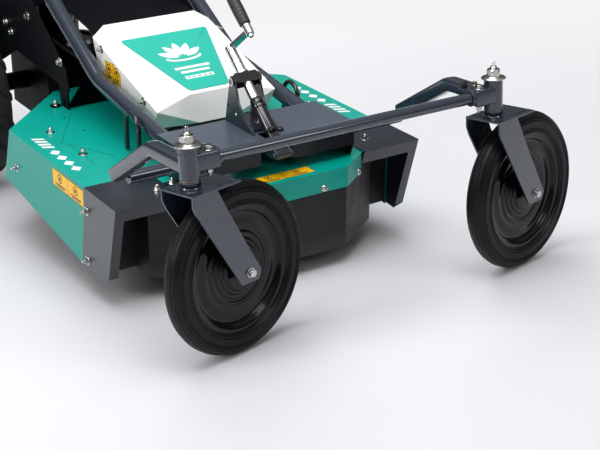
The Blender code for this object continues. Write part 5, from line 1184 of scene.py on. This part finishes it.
def makeBail():
    axis = makeFrame(placed((0, 2.03, panelLine + 0.016), chassis), (1, 0, 0), chassis["axes"][:, 1])
    side = [(0.252, 0, 0), (0.225, 0, 0), (0.225, 0.165, 0.05)]
    corners = side + [(-x, y, z) for x, y, z in reversed(side)]
    route = filletedPath(corners, 0.012, 12)
    rod = inFrame(tubeGrid(route, 0.005, 24, up=(0.02, 0.25, -0.97)), axis)
    makePiece("clutch_bail_rod", rod, "chromePlate", "bail", ("clutch_lever",), 40)
    middle = evenPath([(-0.085, 0.165, 0.05), (0.085, 0.165, 0.05)], 0.0008)
    along = np.arange(len(middle)) * 0.0008
    sleeve = inFrame(tubeGrid(middle, 0.0078 + 0.0003 * np.sin(along / 0.005 * 2 * pi), 28, up=(0, 0.3, 1)),
                     axis)
    makePiece("clutch_bail_sleeve", sleeve, "blackPlastic", "bail")


def makeCable(name, corners):
    route = filletedPath(corners, 0.012, 10)
    makePiece(name + "_sleeve", inFrame(tubeGrid(evenPath(route, 0.004), 0.003, 16, up=(0.31, 0.12, 0.94)),
                                        chassis), "cableSleeve", "chassis", (name,))
    ferrule = turnedGrid([(0.003, 0), (0.0044, 0), (0.0048, 0.0006), (0.0048, 0.014), (0.004, 0.018),
                          (0.003, 0.018)], 20)
    seats = []
    for first, second in ((corners[0], corners[1]), (corners[-1], corners[-2])):
        aim = (np.array(second, float) - np.array(first, float)) @ chassis["axes"].T
        seats.append(aimed(placed(first, chassis), aim))
    fasten(name + "_ferrules", ferrule, seats)


for side, label in bothSides:
    makeHandleTube(side, label)
    makeHandGrip(label)
makeBail()
underPanel = panelLine - 0.0055
makeCable("throttle_cable",
          [(-0.09, 1.99, underPanel), (-0.09, 1.985, 0.905), (-0.168, 1.86, 0.87), (-0.17, 1.7, 0.8),
           (-0.17, 1.48, 0.735), (-0.131, 1.445, 0.7), (-0.131, 1.397, 0.7)])
makeCable("clutch_cable", [(0.04, 1.99, underPanel), (0.04, 1.985, 0.905), (0.168, 1.86, 0.87),
                           (0.172, 1.7, 0.8), (0.172, 1.47, 0.74), (0.2, 1.33, 0.69), (0.2, 1.33, 0.6),
                           (0.2, 1.2, 0.44), (0.2, 1.16, 0.411), (0.2, 1.1325, 0.409)])
print("handles made")


# Rear wheels

driveWheel = {"track": 0.335, "axleY": 1.66, "radius": 0.29, "bead": 0.1525, "carcass": 0.279, "half": 0.07,
              "lugs": 17, "skew": 0.4}


def lugGrid(v, side):
    # One lug across half of the tread: its angle grows away from the middle, its foot follows the carcass
    w = np.linspace(-0.006, v["half"] - 0.0005, 14)
    top = np.interp(w, [-0.006, 0.022, 0.044, 0.062, v["half"]],
                    [v["radius"], v["radius"], 0.2828, 0.27, 0.256])
    foot = np.interp(w, [-0.006, 0.044, 0.062, v["half"]], [0.274, 0.27, 0.258, 0.246])
    skew = v["skew"] * np.clip(w, 0, None) / v["half"] * 0.55
    spread = np.interp(w, [-0.006, 0.03, v["half"]], [0.03, 0.036, 0.048])
    rows = []
    for share, radius in ((-1.15, foot), (-0.8, top - 0.0016), (-0.66, top), (0.66, top),
                          (0.8, top - 0.0016), (1.15, foot)):
        angle = skew + share * spread
        rows.append(around(radius, angle, side * w))
    grid = np.stack(rows, 1)
    return endedGrid(grid, grid[0].mean(0), grid[-1].mean(0))


def makeDriveWheel(side, label):
    v = driveWheel
    axle = facing(moved(chassis, (side * v["track"], v["axleY"], v["radius"])), "x")
    half = np.array([(v["bead"], 0.0596), (v["bead"] + 0.004, 0.064), (0.164, 0.0668), (0.18, 0.0694),
                     (0.21, 0.07), (0.24, 0.0696), (0.258, 0.065), (0.27, 0.054), (0.2765, 0.036),
                     (v["carcass"], 0.0)])
    curve = roundCorners(half, 0.008, 6)
    r, w = curve.T
    for centre, depth in ((0.16, 0.001), (0.172, 0.0008), (0.228, 0.0008), (0.234, 0.0008)):
        w = w - depth * np.exp(-((r - centre) / 0.0012) ** 2) * (w > 0.05)
    curve = np.stack([r, w], 1)
    section = np.concatenate([curve, (curve[::-1] * (1, -1))[1:], curve[:1]])
    carcass = turnedGrid(section, 144)
    lugs = []
    for angle in turnSteps(v["lugs"]):
        for hand in (-1, 1):
            points, faces = lugGrid(v, hand)
            turn = angle + (pi / v["lugs"] if hand > 0 else 0)
            spin = np.array([[cos(turn), sin(turn), 0], [-sin(turn), cos(turn), 0], [0, 0, 1]])
            lugs.append((points @ spin, faces))
    makePiece("drive_tyre_%s_carcass" % label, inFrame(carcass, axle), "driveRubber",
              "drive_wheel_" + label, ("drive_tyre_" + label,), 34)
    makePiece("drive_tyre_%s_lugs" % label, inFrame(joined(*lugs), axle), "driveRubber",
              "drive_wheel_" + label, (), 34)
    face = np.array([(0.034, 0.0118), (0.06, 0.0118), (0.114, 0.0062), (0.12, 0.013), (0.1285, 0.05),
                     (0.134, 0.0545), (0.15, 0.0565), (0.1535, 0.059), (0.155, 0.064), (0.157, 0.0652),
                     (0.1584, 0.064), (0.156, 0.0612)])
    rimCurve = roundCorners(face, 0.0045, 6)
    rim = turnedGrid(np.concatenate([rimCurve, rimCurve[::-1] * (1, -1), rimCurve[:1]]), 120)
    hubInner = -side * (v["track"] - 0.2435)
    out = side * 0.028
    lowEnd, highEnd = sorted((hubInner, out))
    hub = turnedGrid([(0, lowEnd), (0.0325, lowEnd), (0.034, lowEnd + 0.0015), (0.034, highEnd - 0.0015),
                      (0.0325, highEnd), (0, highEnd)], 56)
    shaft = discGrid(0.0125, *sorted((-side * (v["track"] - 0.064), side * 0.036)), 40)
    makePiece("drive_rim_%s_pressed" % label, inFrame(joined(rim, hub), axle), "deckGreen",
              "drive_wheel_" + label, ("drive_rim_" + label,), 34)
    makePiece("drive_axle_%s" % label, inFrame(shaft, axle), "zincPlate", "drive_wheel_" + label, ())
    spots = around(0.052, turnSteps(5), side * 0.012)
    bolts = [inFrame(hexBolt(0.016, 0.009, 0.0145, 0.004), aimed(spot, (0, 0, side))) for spot in spots]
    end = inFrame(capNut(0.022, 0.02), aimed((0, 0, side * 0.0285), (0, 0, side)))
    makePiece("drive_wheel_%s_bolts" % label, inFrame(joined(*bolts, end), axle), "zincPlate",
              "drive_wheel_" + label, (), 32)
    valve = inFrame(turnedGrid([(0, 0), (0.004, 0), (0.004, 0.016), (0.0048, 0.0165),
                                (0.0048, 0.026), (0.004, 0.0272), (0, 0.0272)], 20),
                    makeFrame((0.1385, 0.01, side * 0.052), (0, 1, 0), (side * 0.35, 0, 1)))
    makePiece("drive_valve_%s" % label, inFrame(valve, axle), "blackPlastic", "drive_wheel_" + label)


for side, label in bothSides:
    makeDriveWheel(side, label)
print("rear wheels made")


# Engine and side plates

engine = {"y": 1.52, "foot": 0.6403, "low": 0.7426, "radius": 0.15, "starter": 0.085, "top": 0.8726}


def makeBlower():
    v = engine
    low, top, r, s = v["low"], v["top"], v["radius"], v["starter"]
    profile = roundCorners([(0, top), (s - 0.01, top), (s, top - 0.008), (s, low + 0.1005),
                            (0.128, low + 0.097), (r - 0.006, low + 0.088), (r, low + 0.074),
                            (r, low + 0.03), (r + 0.0012, low + 0.028), (r + 0.0012, low + 0.018),
                            (r, low + 0.016), (r, low), (0, low)], 0.004, 5)
    makePiece("blower_housing_smooth", inFrame(shifted(turnedGrid(profile, 96), (0, v["y"], 0)), chassis),
              "blackPlastic", "chassis", ("blower_housing",), 36)
    slats = []
    for count, reach, level, dip, size in ((28, 0.107, low + 0.0992, -0.08, (0.032, 0.0036, 0.0024)),
                                           (20, 0.05, top + 0.0004, 0, (0.034, 0.0034, 0.0024))):
        for angle in turnSteps(count):
            c, q = cos(angle), sin(angle)
            where = makeFrame((reach * c, v["y"] + reach * q, level), (c, q, dip), (-q, c, 0))
            slats.append(inFrame(boxGrid(size, (0, 0, 0), 0.0008), where))
    makePiece("blower_slats", inFrame(joined(*slats), chassis), "greyPlastic")
    rim = [(0.0775 * cos(a), v["y"] + 0.0775 * sin(a), top - 0.0002) for a in turnSteps(6) + 0.3]
    seats = [aimed(placed(spot, chassis), chassis["axes"][:, 2]) for spot in rim]
    fasten("blower_screws", hexBolt(0.008, 0.0035, 0.0065), seats)


def makeStarterGrip():
    v = engine
    axis = makeFrame(placed((0, v["y"] + v["starter"], v["top"] - 0.016), chassis), (1, 0, 0),
                     chassis["axes"][:, 1])
    t = np.linspace(-0.055, 0.055, 60)
    bar = tubeGrid(np.stack([t, 0.018 + 0 * t, 0 * t], 1),
                   0.008 + 0.002 * np.sqrt(np.clip(1 - (t / 0.0552) ** 2, 0, 1)), 28)
    neck = inFrame(turnedGrid([(0, 0.002), (0.007, 0.002), (0.008, 0.004), (0.0072, 0.014), (0, 0.016)],
                              32), facing(makeFrame((0, 0, 0), (1, 0, 0), (0, 1, 0)), "y"))
    cord = tubeGrid(evenPath([(0, -0.148, 0), (0, 0.01, 0)], 0.002), 0.0024, 14)
    makePiece("starter_grip_moulded", inFrame(joined(bar, neck, cord), axis), "blackPlastic", "starter",
              ("starter_grip",), 40)


guard = {"x": 0.1512, "y": 1.326, "rise": 0.028, "pitch": 0.015, "rows": 4, "columns": 5}


def makeEngineHardware():
    v = engine
    seats = [landed("engine_bed", (x, y, 0.7), (0, 0, -1)) for x in (-0.15, 0.15) for y in (1.4, 1.64)]
    fasten("engine_bed_bolts", hexBolt(0.015, 0.0085, 0.013), seats)
    # Black discs on the guard: painted shade in its holes
    holeShades = []
    for row in range(guard["rows"]):
        for column in range(guard["columns"]):
            high = v["foot"] + guard["rise"] + guard["pitch"] * row
            spot = (guard["x"], guard["y"] + guard["pitch"] * column, high)
            holeShades.append(inFrame(turnedGrid([(0, 0), (0.0046, 0), (0.005, 0.0004), (0.0046, 0.0008),
                                             (0, 0.0008)], 16), makeFrame(spot, (0, 1, 0), (0, 0, 1))))
    makePiece("muffler_guard_hole_shade", inFrame(joined(*holeShades), chassis), "markBlack")
    seam = roundedSection(0.3008, 0.1308, 0.026, 10)
    ring = np.concatenate([seam, seam[:1]])
    line = np.stack([ring[:, 0], ring[:, 1] + 1.765, 0 * ring[:, 0] + v["foot"] + 0.062], 1)
    makePiece("fuel_tank_seam", inFrame(tubeGrid(evenPath(line, 0.004), 0.0013, 8), chassis),
              "blackPlastic")


plateBolts = ((1.385, 0.7793), (1.3, 0.6), (1.437, 0.519), (1.474, 0.541), (1.72, 0.6), (1.087, 0.5195))


def makePlateHardware():
    # Bolts of the side plates: tube spacer, bed flanges and the deck foot
    seats = [onSide("chassis_plate_" + label, side, y, z) for side, label in bothSides
             for y, z in plateBolts]
    fasten("side_plate_bolts", hexBolt(0.015, 0.0085, 0.0135), seats)
    ribs = [landed("transmission_case", (side * 0.1, 1.9, z), (0, -1, 0)) for side in (-1, 1)
            for z in (0.2, 0.29, 0.37)]
    fasten("case_bolts", hexBolt(0.012, 0.007, 0.01), ribs)


makeBlower()
makeStarterGrip()
makeEngineHardware()
makePlateHardware()
print("engine dressed")


# Floor, light and camera

studio = {"floor": (0.645, 0.645, 0.668), "skyLow": 0.09, "skyHigh": 0.52,
          "skyTone": (0.96, 0.975, 1.0), "backdrop": (0.895, 0.897, 0.912), "fadeStart": 1.25,
          "fadeEnd": 2.7, "camera": (-1.800604, -3.533551, 1.342349), "lens": 83.0,
          "right": (0.83865726, -0.54293014, -0.0433689), "up": (0.22196429, 0.26797795, 0.93750716),
          "ahead": (0.49737898, 0.79587353, -0.34525276)}


def makeStage():
    mesh = bpy.data.meshes.new("studioFloor")
    reach = 30.0
    mesh.from_pydata([(-reach, -reach, 0), (reach, -reach, 0), (reach, reach, 0), (-reach, reach, 0)], [],
                     [(0, 1, 2, 3)])
    floor = addObject("studioFloor", mesh)
    paper = bpy.data.materials.new("studioPaper")
    paper.use_nodes = True
    tree = paper.node_tree
    sheet = {"Base Color": (*studio["floor"], 1), "Roughness": 0.75, "Specular IOR Level": 0.2}
    shader = feed(tree, tree.nodes["Principled BSDF"], sheet).outputs["BSDF"]
    # Far from the machine the camera sees the paper in the backdrop's white, as under endless even light
    coords = addNode(tree, "ShaderNodeTexCoord", (-900, 300)).outputs["Object"]
    length = addNode(tree, "ShaderNodeVectorMath", (-700, 300), {0: coords},
                     operation="LENGTH").outputs["Value"]
    far = remapped(tree, length, studio["fadeStart"], studio["fadeEnd"], 0, 1, (-500, 300))
    seen = addNode(tree, "ShaderNodeLightPath", (-500, 500)).outputs["Is Camera Ray"]
    seenFar = addNode(tree, "ShaderNodeMath", (-300, 400), {0: far, 1: seen},
                      operation="MULTIPLY").outputs["Value"]
    white = addNode(tree, "ShaderNodeEmission", (0, -300),
                    {"Color": (*studio["backdrop"], 1)}).outputs["Emission"]
    mix = addNode(tree, "ShaderNodeMixShader", (400, 200), {"Fac": seenFar, 1: shader, 2: white})
    feed(tree, tree.nodes["Material Output"], {"Surface": mix.outputs["Shader"]})
    mesh.materials.append(paper)


def makeLamp(name, place, target, power, size):
    data = bpy.data.lights.new(name, "AREA")
    data.energy = power
    data.shape = "RECTANGLE"
    data.size, data.size_y = size
    lamp = addObject(name, data)
    lamp.location = place
    aim = Vector(target) - Vector(place)
    lamp.rotation_euler = aim.to_track_quat("-Z", "Y").to_euler()
    return lamp


def makeWorld():
    world = bpy.data.worlds.new("studioSky")
    bpy.context.scene.world = world
    world.use_nodes = True
    tree = world.node_tree
    tree.nodes.clear()
    # The sky brightens with the height of the view direction: dark walls low down, a white ceiling above
    direction = addNode(tree, "ShaderNodeTexCoord", (-600, 100)).outputs["Generated"]
    height = addNode(tree, "ShaderNodeSeparateXYZ", (-400, 100), {"Vector": direction}).outputs["Z"]
    glow = remapped(tree, height, 0.3, 0.85, studio["skyLow"], studio["skyHigh"], (-200, 100))
    light = addNode(tree, "ShaderNodeBackground", (200, 100),
                    {"Color": (*studio["skyTone"], 1), "Strength": glow})
    seen = addNode(tree, "ShaderNodeBackground", (200, -100), {"Color": (*studio["backdrop"], 1)})
    path = addNode(tree, "ShaderNodeLightPath", (0, 300)).outputs
    rays = {0: path["Is Camera Ray"], 1: path["Is Transmission Ray"]}
    either = addNode(tree, "ShaderNodeMath", (200, 300), rays, operation="MAXIMUM").outputs["Value"]
    sky = {"Fac": either, 1: light.outputs["Background"], 2: seen.outputs["Background"]}
    mix = addNode(tree, "ShaderNodeMixShader", (400, 0), sky)
    addNode(tree, "ShaderNodeOutputWorld", (600, 0), {"Surface": mix.outputs["Shader"]})


def makeCamera():
    data = bpy.data.cameras.new("photoCamera")
    data.sensor_width = 36.0
    data.lens = studio["lens"]
    data.clip_end = 200
    camera = addObject("photoCamera", data)
    right, up, ahead = (Vector(studio[k]) for k in ("right", "up", "ahead"))
    turn = Matrix((right, up, -ahead)).transposed().to_4x4()
    camera.matrix_world = Matrix.Translation(Vector(studio["camera"])) @ turn
    bpy.context.scene.camera = camera


makeStage()
makeWorld()
makeLamp("overheadBox", (-0.6, -1.3, 3.4), (-0.1, -0.5, 0.3), 85, (2.6, 2.2))
makeLamp("leftBox", (-3.8, -0.6, 1.9), (-0.2, -0.6, 0.3), 52, (1.0, 1.8))
makeLamp("frontBox", (1.6, -4.6, 2.6), (0.0, -0.6, 0.2), 34, (1.4, 1.2))
makeLamp("stripBox", (-2.4, -1.8, 3.0), (-0.2, -0.5, 0.4), 14, (0.25, 2.4))
backLamp = makeLamp("backBox", (3.4, 3.0, 1.6), (0.2, -0.2, 0.4), 16, (0.8, 1.4))
farLamp = makeLamp("farFloorBox", (1.8, 3.6, 4.0), (2.0, 3.0, 0.0), 230, (5.0, 3.0))
for lamp in (backLamp, farLamp):
    lamp.visible_glossy = False
makeCamera()
bpy.context.scene.view_settings.view_transform = "Standard"
print("stage set")
